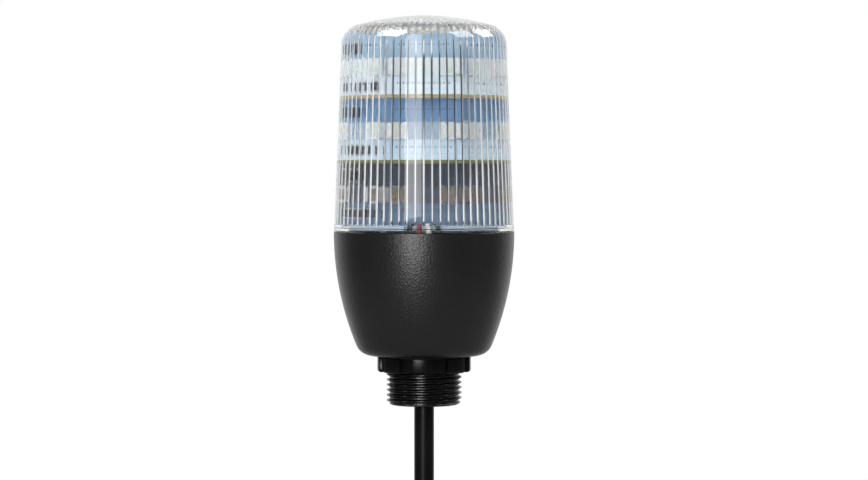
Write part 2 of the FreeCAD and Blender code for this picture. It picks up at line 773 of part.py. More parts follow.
core_r = value("{core_r}")
CORES = ("black", "red", "white", "green")
for number, colour in enumerate(CORES):
    side = (number - 1.5) * value("{core_pitch}")
    outer = number in (0, 3)
    # the outer pair leaves the jacket behind the inner pair and passes over it
    rise = value("{core_pass}") if outer else 0.0
    back = value("{core_back}") if outer else -value("{core_back}")
    turn_z = value(power_z + " - {core_under} - {core_pass}") + rise
    slot_y = value(slot_back) - core_r
    spot = Vector(math.copysign(value("{core_side}"), side), back, lead_top)
    route = [
        spot,
        spot + UP * (value("{core_climb}") + rise),
        Vector(side * 0.7, -value("{core_out}"), turn_z - value("{core_slope}")),
        Vector(side, slot_y, turn_z),
        Vector(side, slot_y, value(carrier_top + " + {core_over}")),
    ]
    solid_part("core_" + colour, tube(route, core_r))

hank_top = -value("{hank_top}")
flat = value("{fold_flat}")
tube_line = [Vector(0, 0, stem_end), Vector(0, 0, hank_top - flat)]
solid_part("cable", tube(tube_line, lead_r))

fold = value("{fold_r}")
half = value("{hank_half}")
waist = value("{waist}")
fold_z = hank_top - fold - lead_r
waist_z = fold_z - half


def hank_outline(grow):
    """The outline of the folded lead, grown to either side of its centre line."""
    end_r = fold + grow
    side_r = (waist**2 + half**2 - fold**2) / (2 * (fold - waist)) - grow
    side_x = waist + grow + side_r
    lean = math.atan2(half, side_x)
    corner = Vector(end_r * math.cos(lean), 0, fold_z - end_r * math.sin(lean))

    def at(x_sign, z_sign):
        return Vector(corner.x * x_sign, 0, waist_z + (corner.z - waist_z) * z_sign)

    edges = [
        Part.Arc(at(1, 1), Vector(0, 0, fold_z + end_r), at(-1, 1)),
        Part.Arc(at(-1, 1), Vector(-waist - grow, 0, waist_z), at(-1, -1)),
        Part.Arc(at(-1, -1), Vector(0, 0, waist_z - half - end_r), at(1, -1)),
        Part.Arc(at(1, -1), Vector(waist + grow, 0, waist_z), at(1, 1)),
    ]
    return Part.Face(Part.Wire([edge.toShape() for edge in edges]))


layers = 3
hank_deep = layers * 2 * lead_r
ring = hank_outline(lead_r).cut(hank_outline(-lead_r))
ring.translate(Vector(0, -lead_r, 0))
hank = ring.Faces[0].extrude(Vector(0, hank_deep, 0))
top_cut = Part.makeBox(
    fold, hank_deep + lead_r, lead_r, Vector(-fold / 2, -1.5 * lead_r, hank_top - flat)
)
tail_y = hank_deep - 2 * lead_r
tail_end = waist_z - value("{tail_down}")
tail = Part.makeCylinder(lead_r, value("{tail_len}"), Vector(-waist, tail_y, tail_end), UP)
solid_part("cable_hank", hank.cut(top_cut).fuse(tail).removeSplitter())

tips = []
for number in range(len(CORES)):
    angle = math.radians(45 + 90 * number)
    spread = Vector(math.cos(angle), math.sin(angle), 0) * value("{tip_spread}")
    foot = Vector(-waist, tail_y, tail_end) + spread
    long = value("{tip_len}")
    sleeve = Part.makeCylinder(core_r, long, foot, -UP)
    bare = Part.makeCylinder(core_r * 0.6, value("{bare_len}"), foot - UP * long, -UP)
    tips.append(sleeve.fuse(bare).removeSplitter())
solid_part("stripped_cores", Part.makeCompound(tips))

tie_w, tie_t, tie_play = (value(word) for word in ("{tie_w}", "{tie_t}", "{tie_play}"))
half_x = waist + lead_r + tie_play
low_y, high_y = -lead_r - tie_play, hank_deep - lead_r + tie_play


def strap(grow):
    box = Part.makeBox(
        2 * (half_x + grow),
        high_y - low_y + 2 * grow,
        tie_w,
        Vector(-half_x - grow, low_y - grow, waist_z - tie_w / 2),
    )
    if not grow:
        return box
    upright = [e for e in box.Edges if abs(e.BoundBox.ZLength - tie_w) < 1e-6]
    return box.makeFillet(grow + 0.4, upright)


head_t, head_h = value("{tie_head_t}"), value("{tie_head_h}")
head = Part.makeBox(
    value("{tie_head}"),
    head_t,
    head_h,
    Vector(value("{tie_head_x}"), low_y - head_t, waist_z - head_h / 2),
)
solid_part("cable_tie", strap(tie_t).cut(strap(0)).fuse(head).removeSplitter())

# ---------------------------------------------------------------- checks and export

doc.recompute()
for item in doc.Objects:
    if "Invalid" in item.State or "Error" in item.State:
        raise RuntimeError(f"{item.Name} is {item.State}")

pieces = {}
for item in doc.Objects:
    if item.TypeId in ("PartDesign::Body", "Part::Box", "Part::Feature"):
        pieces[item.Label] = item
pieces["lens_cover"] = lens_cut
del pieces["flute_core"]

os.makedirs("parts", exist_ok=True)
for name, item in pieces.items():
    shape = item.Shape
    if shape.isNull() or not shape.isValid() or shape.Volume <= 0:
        raise RuntimeError(f"{name} has no good shape")
    shape.exportStep(f"parts/{name}.step")
    box = shape.BoundBox
    print(
        f"{name:24s} solids {len(shape.Solids):3d} volume {shape.Volume:9.2f}"
        f" x {box.XMin:7.2f} {box.XMax:7.2f} y {box.YMin:7.2f} {box.YMax:7.2f} z {box.ZMin:7.2f} {box.ZMax:7.2f}"
    )
print(len(pieces), "pieces")
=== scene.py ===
import math

import bmesh
import bpy
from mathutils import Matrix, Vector


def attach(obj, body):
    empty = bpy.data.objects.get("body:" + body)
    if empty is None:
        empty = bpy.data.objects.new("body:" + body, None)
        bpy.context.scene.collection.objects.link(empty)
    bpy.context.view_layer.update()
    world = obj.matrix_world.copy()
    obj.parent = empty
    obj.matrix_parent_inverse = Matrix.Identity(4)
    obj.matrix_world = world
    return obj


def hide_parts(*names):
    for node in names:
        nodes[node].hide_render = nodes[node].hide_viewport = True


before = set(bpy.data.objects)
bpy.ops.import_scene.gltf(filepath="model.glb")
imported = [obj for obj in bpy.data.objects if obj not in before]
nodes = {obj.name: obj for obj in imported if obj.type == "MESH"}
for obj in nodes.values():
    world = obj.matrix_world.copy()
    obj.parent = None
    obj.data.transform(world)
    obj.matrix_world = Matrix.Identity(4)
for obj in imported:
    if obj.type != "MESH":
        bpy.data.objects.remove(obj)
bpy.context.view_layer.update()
mm = 0.001
print("frame loaded:", len(nodes), "nodes")


# colours and nodes


def hexColour(text):
    parts = [int(text[i:i + 2], 16) / 255 for i in (1, 3, 5)]
    return tuple(c / 12.92 if c <= 0.04045 else ((c + 0.055) / 1.055) ** 2.4 for c in parts) + (1.0,)


def setInputs(tree, node, values):
    # a node given as a value means its first output, and a text starting with # is a colour
    for name, value in values.items():
        if isinstance(value, bpy.types.Node):
            value = value.outputs[0]
        if isinstance(value, bpy.types.NodeSocket):
            tree.links.new(value, node.inputs[name])
        else:
            isColour = isinstance(value, str) and value[0] == "#"
            node.inputs[name].default_value = hexColour(value) if isColour else value


def add(tree, kind, values=None, stops=None, **settings):
    # a kind without Node in it is a shader node; stops are a colour ramp's places and colours
    node = tree.nodes.new(kind if "Node" in kind else "ShaderNode" + kind)
    for name, value in settings.items():
        setattr(node, name, value)
    setInputs(tree, node, values or {})
    if stops:
        points = node.color_ramp.elements
        while len(points) < len(stops):
            points.new(0.5)
        for point, (at, colour) in zip(points, stops):
            point.position = at
            point.color = hexColour(colour)
    return node


def newMaterial(name):
    material = bpy.data.materials.new(name)
    material.use_nodes = True
    tree = material.node_tree
    tree.nodes.clear()
    shader = add(tree, "BsdfPrincipled")
    add(tree, "OutputMaterial", {"Surface": shader})
    return material, tree, shader, add(tree, "TexCoord").outputs["Object"]


roughBand = 0.06


def plainFinish(name, dark, pale, rough, driftSize, grainSize, grainHeight, specular=0.5, metallic=0.0):
    # a moulded, dipped or plated skin, sizes in mm: colour drifts between two near shades,
    # and grain breaks up the gloss by roughBand either way
    material, tree, shader, place = newMaterial(name)
    drift = add(tree, "TexNoise", {"Vector": place, "Scale": 1 / (driftSize * mm), "Detail": 3.0})
    grain = add(tree, "TexNoise", {"Vector": place, "Scale": 1 / (grainSize * mm), "Detail": 2.0})
    setInputs(tree, shader, {
        "Base Color": add(tree, "ValToRGB", {"Fac": drift}, stops=[(0.3, dark), (0.7, pale)]),
        "Roughness": add(tree, "MapRange", {
            "Value": grain, "To Min": rough - roughBand, "To Max": rough + roughBand,
        }),
        "Normal": add(tree, "Bump", {"Height": grain, "Distance": grainHeight * mm}),
        "Specular IOR Level": specular,
        "Metallic": metallic,
    })
    return material


def repaint(material, *names):
    for name in names:
        for entry in nodes[name].material_slots:
            entry.material = material


# camera

cameraPlan = {"place": (0.0029, -0.740, 0.0515), "tiltDown": 1.38, "lens": 105.0}

cameraData = bpy.data.cameras.new("camera")
cameraData.lens = cameraPlan["lens"]
cameraData.clip_start = 0.01  # the small object is close
camera = bpy.data.objects.new("camera", cameraData)
camera.location = cameraPlan["place"]
camera.rotation_euler = (math.radians(90 - cameraPlan["tiltDown"]), 0, 0)
bpy.context.scene.collection.objects.link(camera)
bpy.context.scene.camera = camera
bpy.context.scene.view_settings.view_transform = "Standard"
print("camera set")


# lead: down from the stem, then folded into a tied hank

leadPlan = {"radius": 2.9 * mm, "length": 0.505, "dark": "#080809", "pale": "#0f0f10", "rough": 0.36}
leadPoints = [
    (0.0, 0.0, -0.0144), (0.0, 0.0, -0.0230), (0.0, 0.0, -0.0340), (0.0, 0.0, -0.0450),
    (-0.0012, 0.0, -0.0560), (-0.0090, 0.0, -0.0665), (-0.0111, 0.0, -0.0778),
    # first turn
    (-0.0111, 0.0, -0.0932), (-0.0186, 0.0003, -0.1060), (-0.0160, 0.0009, -0.1179),
    (-0.0063, 0.0017, -0.1261), (0.0063, 0.0024, -0.1261), (0.0160, 0.0028, -0.1179),
    (0.0186, 0.0029, -0.1060), (0.0111, 0.0029, -0.0932), (0.0111, 0.0029, -0.0778),
    (0.0186, 0.0034, -0.0650), (0.0160, 0.0045, -0.0531), (0.0063, 0.0058, -0.0449),
    (-0.0063, 0.0059, -0.0449), (-0.0160, 0.0058, -0.0531), (-0.0186, 0.0058, -0.0650),
    (-0.0111, 0.0058, -0.0778),
    # second turn
    (-0.0111, 0.0058, -0.0932), (-0.0186, 0.0061, -0.1060), (-0.0160, 0.0067, -0.1179),
    (-0.0063, 0.0075, -0.1261), (0.0063, 0.0082, -0.1261), (0.0160, 0.0086, -0.1179),
    (0.0186, 0.0087, -0.1060), (0.0111, 0.0087, -0.0932), (0.0111, 0.0087, -0.0778),
    (0.0186, 0.0092, -0.0650), (0.0160, 0.0103, -0.0531), (0.0063, 0.0116, -0.0449),
    (-0.0063, 0.0116, -0.0449), (-0.0160, 0.0116, -0.0531), (-0.0186, 0.0116, -0.0650),
    (-0.0111, 0.0116, -0.0778),
    # tail
    (-0.0111, 0.0116, -0.0900), (-0.0111, 0.0116, -0.0975), (-0.0111, 0.0116, -0.1045),
]

leadCurve = bpy.data.curves.new("lead", "CURVE")
leadCurve.dimensions = "3D"
leadCurve.bevel_depth = leadPlan["radius"]
leadCurve.bevel_resolution = 8
leadCurve.resolution_u = 6
leadCurve.use_fill_caps = True
leadSpline = leadCurve.splines.new("NURBS")
leadSpline.points.add(len(leadPoints) - 1)
for point, at in zip(leadSpline.points, leadPoints):
    point.co = (*at, 1.0)
leadSpline.order_u = 3
leadSpline.use_endpoint_u = True
lead = bpy.data.objects.new("lead", leadCurve)
bpy.context.scene.collection.objects.link(lead)

# extruded PVC jacket: soft gloss, faint drift in the black, a slight ripple from the die
leadPvc = plainFinish(
    "black_pvc_jacket", leadPlan["dark"], leadPlan["pale"], leadPlan["rough"], 14.0, 1.1, 0.006, 0.12
)
leadCurve.materials.append(leadPvc)
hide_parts("cable", "cable_hank")
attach(lead, "light")
print("lead laid")


# shapes


def meshObject(name, mesh, material=None):
    made = bpy.data.objects.new(name, mesh)
    bpy.context.scene.collection.objects.link(made)
    if material:
        mesh.materials.clear()
        mesh.materials.append(material)
    return made


def cleaned(mesh, sharpDegrees=32.0):
    # doubles merged, faces outward, smooth with its sharp edges kept
    work = bmesh.new()
    work.from_mesh(mesh)
    bmesh.ops.remove_doubles(work, verts=work.verts, dist=1e-7)
    bmesh.ops.dissolve_degenerate(work, edges=work.edges, dist=1e-8)
    bmesh.ops.recalc_face_normals(work, faces=work.faces)
    for face in work.faces:
        face.smooth = True
    work.to_mesh(mesh)
    work.free()
    mesh.set_sharp_from_angle(angle=math.radians(sharpDegrees))
    return mesh


def ringMesh(loops, ends=True):
    # loops of equally many points in mm, joined in order, with the first and last filled if ends is set
    count = len(loops[0])
    faces = [
        (k * count + i, k * count + (i + 1) % count, (k + 1) * count + (i + 1) % count, (k + 1) * count + i)
        for k in range(len(loops) - 1) for i in range(count)
    ]
    if ends:
        faces.append(tuple(range(count)))
        faces.append(tuple((len(loops) - 1) * count + i for i in range(count)))
    mesh = bpy.data.meshes.new("shape")
    mesh.from_pydata([tuple(v * mm for v in point) for loop in loops for point in loop], [], faces)
    return mesh


def newTree(name, inputs):
    # inputs are (name, kind, value)
    tree = bpy.data.node_groups.new(name, "GeometryNodeTree")
    tree.interface.new_socket("Geometry", in_out="INPUT", socket_type="NodeSocketGeometry")
    for label, kind, value in inputs:
        socket = tree.interface.new_socket(label, in_out="INPUT", socket_type="NodeSocket" + kind)
        if value is not None:
            socket.default_value = value
    tree.interface.new_socket("Geometry", in_out="OUTPUT", socket_type="NodeSocketGeometry")
    return tree, tree.nodes.new("NodeGroupInput").outputs


def closeTree(tree, geometry, material):
    real = add(tree, "GeometryNodeRealizeInstances", {"Geometry": geometry})
    painted = add(tree, "GeometryNodeSetMaterial", {"Geometry": real, "Material": material})
    add(tree, "NodeGroupOutput", {"Geometry": painted})


def grown(name, mesh, tree, values, sharpDegrees=32.0):
    # runs a tree over a mesh with the given inputs and keeps the plain result
    source = meshObject(name, mesh)
    modifier = source.modifiers.new("shape", "NODES")
    modifier.node_group = tree
    for socket in tree.interface.items_tree:
        if socket.item_type == "SOCKET" and socket.in_out == "INPUT" and socket.name in values:
            modifier[socket.identifier] = values[socket.name]
    ready = source.evaluated_get(bpy.context.evaluated_depsgraph_get())
    plain = bpy.data.meshes.new_from_object(ready)
    source.modifiers.clear()
    source.data = cleaned(plain, sharpDegrees)
    return source


# a turned form: a section swept round the axis, with flutes and a thread where the section asks for them


def triangleWave(tree, value):
    # 1 at every whole number and 0 halfway between
    part = add(tree, "Math", {0: value}, operation="FRACT")
    centred = add(tree, "Math", {0: part, 1: 2.0, 2: -1.0}, operation="MULTIPLY_ADD")
    return add(tree, "Math", {0: centred}, operation="ABSOLUTE")


def turnedTree():
    tree, given = newTree("turned form", [
        ("Columns", "Int", 128), ("Stations", "Int", 10), ("Flutes", "Int", 64), ("Flute Power", "Float", 2.0),
        ("Thread Pitch", "Float", 0.0015), ("Material", "Material", None),
    ])
    around = add(tree, "Math", {0: given["Columns"], 1: 1.0})
    plate = add(tree, "GeometryNodeMeshGrid", {
        "Size X": 1.0, "Size Y": 1.0, "Vertices X": around, "Vertices Y": given["Stations"],
    })
    spot = add(tree, "SeparateXYZ", {"Vector": add(tree, "GeometryNodeInputPosition")})
    turn = add(tree, "Math", {0: spot.outputs["X"], 1: 0.5})
    rows = add(tree, "Math", {0: given["Stations"], 1: 1.0}, operation="SUBTRACT")
    along = add(tree, "Math", {0: spot.outputs["Y"], 1: 0.5})
    row = add(tree, "Math", {
        0: add(tree, "Math", {0: along, 1: rows}, operation="MULTIPLY"),
    }, operation="ROUND")
    sampled = []
    for label, kind in (("position", "FLOAT_VECTOR"), ("push", "FLOAT_VECTOR"), ("cut", "FLOAT")):
        value = add(tree, "GeometryNodeInputNamedAttribute", {"Name": label}, data_type=kind)
        sampled.append(add(tree, "GeometryNodeSampleIndex", {
            "Geometry": given["Geometry"], "Index": row, "Value": value,
        }, data_type=kind))
    place, push, cut = sampled
    # flute: 0 at a cusp, 1 on its crown
    side = triangleWave(tree, add(tree, "Math", {0: turn, 1: given["Flutes"]}, operation="MULTIPLY"))
    fall = add(tree, "Math", {0: side, 1: given["Flute Power"]}, operation="POWER")
    crown = add(tree, "Math", {0: 1.0, 1: fall}, operation="SUBTRACT")
    lifted = add(tree, "VectorMath", {0: push, "Scale": crown}, operation="SCALE")
    shaped = add(tree, "VectorMath", {0: place, 1: lifted})
    flat = add(tree, "SeparateXYZ", {"Vector": shaped})
    # thread: 60 degree flanks between a narrow crest and a wider root
    climb = add(tree, "Math", {0: flat.outputs["Z"], 1: given["Thread Pitch"]}, operation="DIVIDE")
    lag = add(tree, "Math", {0: climb, 1: turn}, operation="SUBTRACT")
    wave = triangleWave(tree, add(tree, "Math", {0: lag, 1: 64.0}))
    flank = add(tree, "MapRange", {"Value": wave, "From Min": 0.14, "From Max": 0.76})
    sunk = add(tree, "Math", {0: flank, 1: cut}, operation="MULTIPLY")
    radius = add(tree, "Math", {0: flat.outputs["X"], 1: sunk}, operation="SUBTRACT")
    front = add(tree, "CombineXYZ", {
        "Y": add(tree, "Math", {0: radius, 1: -1.0}, operation="MULTIPLY"), "Z": flat.outputs["Z"],
    })
    angle = add(tree, "Math", {0: turn, 1: 2 * math.pi}, operation="MULTIPLY")
    placed = add(tree, "VectorRotate", {"Vector": front, "Angle": angle}, rotation_type="Z_AXIS")
    moved = add(tree, "GeometryNodeSetPosition", {"Geometry": plate, "Position": placed})
    closeTree(tree, moved, given["Material"])
    return tree


turned = turnedTree()


def arcPoints(centre, radius, start, end, steps):
    # (radius, height, outward radius, outward height) along an arc, without its last point
    line = []
    for i in range(steps):
        at = start + (end - start) * i / steps
        cos, sin = math.cos(at), math.sin(at)
        line.append((centre[0] + radius * cos, centre[1] + radius * sin, cos, sin))
    return line


def turnedPiece(name, stations, columns, material, flutes=1, power=2.0, pitch=1.5, sharpDegrees=32.0):
    # stations in order round the section: (radius, height, push, cut), in mm
    mesh = bpy.data.meshes.new(name)
    mesh.from_pydata([(s[0] * mm, 0, s[1] * mm) for s in stations], [], [])
    mesh.attributes.new("push", "FLOAT_VECTOR", "POINT")
    mesh.attributes.new("cut", "FLOAT", "POINT")
    push, cut = [], []
    for s in stations:
        lift = s[2] if len(s) > 2 else (0, 0)
        push += [lift[0] * mm, 0.0, lift[1] * mm]
        cut.append((s[3] if len(s) > 3 else 0.0) * mm)
    mesh.attributes["push"].data.foreach_set("vector", push)
    mesh.attributes["cut"].data.foreach_set("value", cut)
    return grown(name, mesh, turned, {
        "Columns": columns, "Stations": len(stations), "Flutes": flutes, "Flute Power": power,
        "Thread Pitch": pitch * mm, "Material": material,
    }, sharpDegrees)


# lens: clear moulding, smooth outside, flutes inside that run over the shoulder into the crown

lensPlan = {
    "footRadius": 26.35, "cornerRadius": 24.0, "foot": 36.1, "top": 99.1, "crownRadius": 70.0, "shoulder": 6.0,
    "wall": 2.0, "bandStep": 0.12, "haze": 0.03,
    "flutes": 68, "stepsPerFlute": 8, "power": 2.0, "ribFoot": 38.2, "rib": 0.58, "crownRib": 0.3,
    "ribEase": 1.6, "plainCentre": 7.0,  # how soon the ribs thin over the shoulder, and where they fade
    "ringPitch": 1.5, "ringDepth": 0.35, "ringOver": 1.5, "ringFade": 2.0,  # rings start over the shoulder
    "pebble": 0.7, "pebbleHeight": 0.5, "pebbleFrom": 93.5, "pebbleFull": 96.5,
    "skirt": [  # the tongue that drops into the housing, and the foot that stands on it
        (22.4, 37.2), (22.3, 37.1), (22.3, 34.0), (22.3, 31.2), (22.4, 31.1), (23.9, 31.1), (24.0, 31.2),
        (24.0, 35.95), (24.0, 36.1), (24.1, 36.1), (26.25, 36.1), (26.34, 36.17),
    ],
}


def lensSection(plan):
    base, top = plan["foot"], plan["top"]
    crownZ = top - plan["crownRadius"]
    cornerZ = crownZ + math.sqrt(plan["crownRadius"] ** 2 - plan["cornerRadius"] ** 2)
    lean = math.atan2(plan["footRadius"] - plan["cornerRadius"], cornerZ - base)
    # centre of the shoulder rounding
    wallR = plan["footRadius"] - plan["shoulder"] / math.cos(lean)
    ball = plan["crownRadius"] - plan["shoulder"]
    rise = base - crownZ
    slope = -math.tan(lean)
    a, b, c = 1 + slope * slope, 2 * (slope * wallR + rise), wallR ** 2 + rise ** 2 - ball ** 2
    up = (-b + math.sqrt(b * b - 4 * a * c)) / (2 * a)
    centreR, centreZ = wallR + slope * up, base + up
    over = math.atan2(centreR, centreZ - crownZ)

    def skin(inset, wallRows, bendRows, crownRows):
        # (radius, height, outward radius, outward height) from the foot to the axis
        line = []
        startR = plan["footRadius"] - inset / math.cos(lean)
        bend = plan["shoulder"] - inset
        endR, endZ = centreR + bend * math.cos(lean), centreZ + bend * math.sin(lean)
        for i in range(wallRows):
            t = i / wallRows
            along = startR + (endR - startR) * t, base + (endZ - base) * t
            line.append((*along, math.cos(lean), math.sin(lean)))
        line += arcPoints((centreR, centreZ), bend, lean, math.pi / 2 - over, bendRows)
        inside = plan["crownRadius"] - inset
        line += arcPoints((0.0, crownZ), inside, math.pi / 2 - over, math.pi / 2, crownRows)
        return line + [(0.0, crownZ + inside, 0.0, 1.0)]

    outer = skin(0.0, wallRows=8, bendRows=14, crownRows=12)
    inner = skin(plan["wall"], wallRows=16, bendRows=20, crownRows=84)
    stations = []
    for r, z, nr, nz in reversed(inner):
        if z < plan["ribFoot"]:
            continue
        depth = plan["rib"] + (plan["crownRib"] - plan["rib"]) * min(1.0, plan["ribEase"] * nz)
        ring = 0.0
        inward = centreR + plan["ringOver"] - r
        if inward > 0:  # the crown: fine rings cross the flutes and turn them into small prisms
            fade = min(1.0, inward / plan["ringFade"])
            ring = plan["ringDepth"] * fade * (0.5 - 0.5 * math.cos(2 * math.pi * r / plan["ringPitch"]))
            depth *= min(1.0, r / plan["plainCentre"])
        stations.append((r - nr * ring, z - nz * ring, (-nr * depth, -nz * depth)))
    footR = plan["footRadius"] - plan["wall"]
    lastR = footR - math.tan(lean) * (plan["ribFoot"] - base)
    bandR = footR + plan["bandStep"]
    stations += [
        (lastR, plan["ribFoot"] + 0.06, (-plan["rib"], 0)), (lastR, plan["ribFoot"], (-plan["rib"] * 0.85, 0)),
        (bandR, plan["ribFoot"]), (bandR, 37.75), (bandR, 37.35), (bandR - 0.15, 37.2),
    ]
    return stations + plan["skirt"] + [(r, z) for r, z, _, _ in outer[1:]]


# injection moulded polycarbonate: water clear, high gloss, a trace of flow haze, and a crown pebbled
# inside, drawn a little coarse so that it shows
clear, tree, shader, place = newMaterial("clear_polycarbonate")
flow = add(tree, "TexNoise", {"Vector": place, "Scale": 35.0, "Detail": 2.0})
haze = add(tree, "TexNoise", {"Vector": place, "Scale": 160.0, "Detail": 3.0})
pebble = add(tree, "TexVoronoi", {"Vector": place, "Scale": 1 / (lensPlan["pebble"] * mm)}, feature="SMOOTH_F1")
crownward = add(tree, "MapRange", {
    "Value": add(tree, "SeparateXYZ", {"Vector": place}).outputs["Z"],
    "From Min": lensPlan["pebbleFrom"] * mm, "From Max": lensPlan["pebbleFull"] * mm,
})
setInputs(tree, shader, {
    "Base Color": add(tree, "ValToRGB", {"Fac": flow}, stops=[(0.3, "#f8fbfc"), (0.7, "#fdfefe")]),
    "Roughness": add(tree, "MapRange", {"Value": haze, "To Min": 0.0, "To Max": lensPlan["haze"]}),
    "Normal": add(tree, "Bump", {
        "Height": add(tree, "Math", {0: pebble, 1: crownward}, operation="MULTIPLY"),
        "Distance": lensPlan["pebbleHeight"] * mm,
    }),
    "IOR": 1.586,
    "Transmission Weight": 1.0,
})
lens = turnedPiece(
    "lens", lensSection(lensPlan), lensPlan["flutes"] * lensPlan["stepsPerFlute"], clear,
    flutes=lensPlan["flutes"], power=lensPlan["power"],
)
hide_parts("lens_cover")
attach(lens, "light")
print("lens made")


# housing: barrel with its foot rounding, and the threaded stem in one piece with it

housingPlan = {
    "topRadius": 26.4, "height": 36.1, "barrel": 87.0, "footRound": 4.8,
    "stemRadius": 11.0, "stemEnd": 14.4, "bore": 7.6, "floor": 3.6, "groove": 13.95, "grooveDeep": 1.2,
    "pitch": 1.5, "threadDepth": 0.92, "leadIn": 0.95, "leadSlope": 1.1, "rowsPerTurn": 16,
    "dark": "#0d0d0e", "pale": "#141415", "rough": 0.31, "grain": 0.42, "grainHeight": 0.06, "specular": 0.45,
    "stemDark": "#070708", "stemRough": 0.26,
    "cavity": [
        (24.25, 36.1), (24.15, 36.0), (24.15, 30.1), (22.5, 30.1), (22.5, 27.7), (21.6, 22.0), (20.3, 14.0),
        (18.6, 7.5), (17.6, 3.6),
    ],
}


def housingSection(plan):
    end = -plan["stemEnd"]
    stations = [
        (plan["bore"], plan["floor"]), (plan["bore"], end + 0.3), (plan["bore"] + 0.3, end),
        (plan["stemRadius"] - 1.3, end), (plan["stemRadius"] - 1.05, end + 0.12),
    ]
    # the thread climbs in fine rows from its bevelled end to the gasket groove
    z = end + 0.25
    while z < plan["grooveDeep"] - 0.1:
        bevel = max(0.0, (end + plan["leadIn"] - z)) * plan["leadSlope"]
        stations.append((plan["stemRadius"] - bevel, z, (0, 0), max(0.0, plan["threadDepth"] - bevel)))
        z += plan["pitch"] / plan["rowsPerTurn"]
    deep, groove = plan["grooveDeep"], plan["groove"]
    stations += [(plan["stemRadius"], deep), (groove, deep), (groove, 0.1), (groove + 0.1, 0.0)]
    # foot rounding between the flat underside and the barrelled wall
    centreR, centreZ = plan["topRadius"] - plan["barrel"], plan["height"]
    ball = plan["barrel"] - plan["footRound"]
    roundZ = plan["footRound"]
    roundR = centreR + math.sqrt(ball ** 2 - (centreZ - roundZ) ** 2)
    leave = math.atan2(roundZ - centreZ, roundR - centreR)
    foot = arcPoints((roundR, roundZ), roundZ, -math.pi / 2, leave, 12)
    barrel = arcPoints((centreR, centreZ), plan["barrel"], leave, 0.0, 22)
    stations += [point[:2] for point in foot + barrel]
    rim = plan["topRadius"]
    stations += [(rim, plan["height"] - 0.12), (rim - 0.12, plan["height"])]
    return stations + plan["cavity"] + [(plan["bore"], plan["floor"])]


# black glass-filled polyamide, spark-eroded grain drawn a little coarse so that it still sparkles at this size
blackHousing, tree, shader, place = newMaterial("black_polyamide")
drift = add(tree, "TexNoise", {"Vector": place, "Scale": 70.0, "Detail": 4.0})
grain = add(tree, "TexNoise", {
    "Vector": place, "Scale": 1 / (housingPlan["grain"] * mm), "Detail": 3.0, "Roughness": 0.6,
})
pits = add(tree, "TexVoronoi", {
    "Vector": place, "Scale": 0.8 / (housingPlan["grain"] * mm),
}, feature="SMOOTH_F1")
relief = add(tree, "Math", {0: pits, 1: 0.8, 2: grain}, operation="MULTIPLY_ADD")
# the stem leaves a polished part of the tool: darker and without grain
onBarrel = add(tree, "MapRange", {
    "Value": add(tree, "SeparateXYZ", {"Vector": place}).outputs["Z"],
    "From Max": housingPlan["grooveDeep"] * mm,
})
skin = add(tree, "ValToRGB", {"Fac": drift}, stops=[(0.3, housingPlan["dark"]), (0.75, housingPlan["pale"])])
matt = add(tree, "MapRange", {
    "Value": grain, "To Min": housingPlan["rough"] - 0.1, "To Max": housingPlan["rough"] + 0.12,
})
setInputs(tree, shader, {
    "Base Color": add(tree, "Mix", {
        0: onBarrel, 6: housingPlan["stemDark"], 7: skin,
    }, data_type="RGBA").outputs[2],
    "Roughness": add(tree, "MapRange", {"Value": onBarrel, "To Min": housingPlan["stemRough"], "To Max": matt}),
    "Normal": add(tree, "Bump", {
        "Height": relief, "Strength": onBarrel, "Distance": housingPlan["grainHeight"] * mm,
    }),
    "Specular IOR Level": housingPlan["specular"],
})
housing = turnedPiece(
    "housing", housingSection(housingPlan), 180, blackHousing, pitch=housingPlan["pitch"], sharpDegrees=38.0
)
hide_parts("base_housing")
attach(housing, "light")
print("housing made")


# nut: low ring with eight grip notches

nutPlan = {
    "radius": 13.7, "bore": 11.12, "top": -0.3, "bottom": -4.8, "notches": 8, "notchWidth": 3.5,
    "notchDepth": 1.0, "notchEdge": 0.22, "edge": 0.8, "dark": "#070708", "pale": "#0d0d0e", "rough": 0.22,
}


def nutMesh(plan, columns=384):
    half, ease = plan["notchWidth"] / 2, plan["notchEdge"]
    low, high = plan["bottom"], plan["top"]
    rings = [  # inset, height, and whether the ring lies on the bore
        (0.0, high - 0.25, False), (0.0, low + plan["edge"], False), (0.06, low + 0.5, False),
        (0.23, low + 0.23, False), (0.5, low + 0.06, False), (0.8, low, False),
        (0.35, low, True), (0.0, low + 0.35, True), (0.0, high - 0.3, True), (0.3, high, True),
        (0.25, high, False),
    ]
    sector = 2 * math.pi / plan["notches"]
    loops = []
    for inset, z, bore in rings:
        loop = []
        for i in range(columns):
            at = 2 * math.pi * i / columns
            radius = plan["bore"] + inset
            if not bore:
                away = abs((at + sector / 2) % sector - sector / 2) * plan["radius"]
                sink = min(1.0, max(0.0, (half + ease - away) / (2 * ease)))
                radius = plan["radius"] - plan["notchDepth"] * sink * sink * (3 - 2 * sink) - inset
            turn = at + sector / 2
            loop.append((radius * math.sin(turn), -radius * math.cos(turn), z))
        loops.append(loop)
    return cleaned(ringMesh(loops + loops[:1], ends=False), 35.0)


# moulded nylon, glossier and blacker than the housing
nutNylon = plainFinish("black_nylon", nutPlan["dark"], nutPlan["pale"], nutPlan["rough"], 9.0, 0.7, 0.008, 0.14)
nut = meshObject("nut", nutMesh(nutPlan), nutNylon)
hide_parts("mounting_nut")
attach(nut, "nut")
print("nut made")


# small parts repeated on the faces of every tier


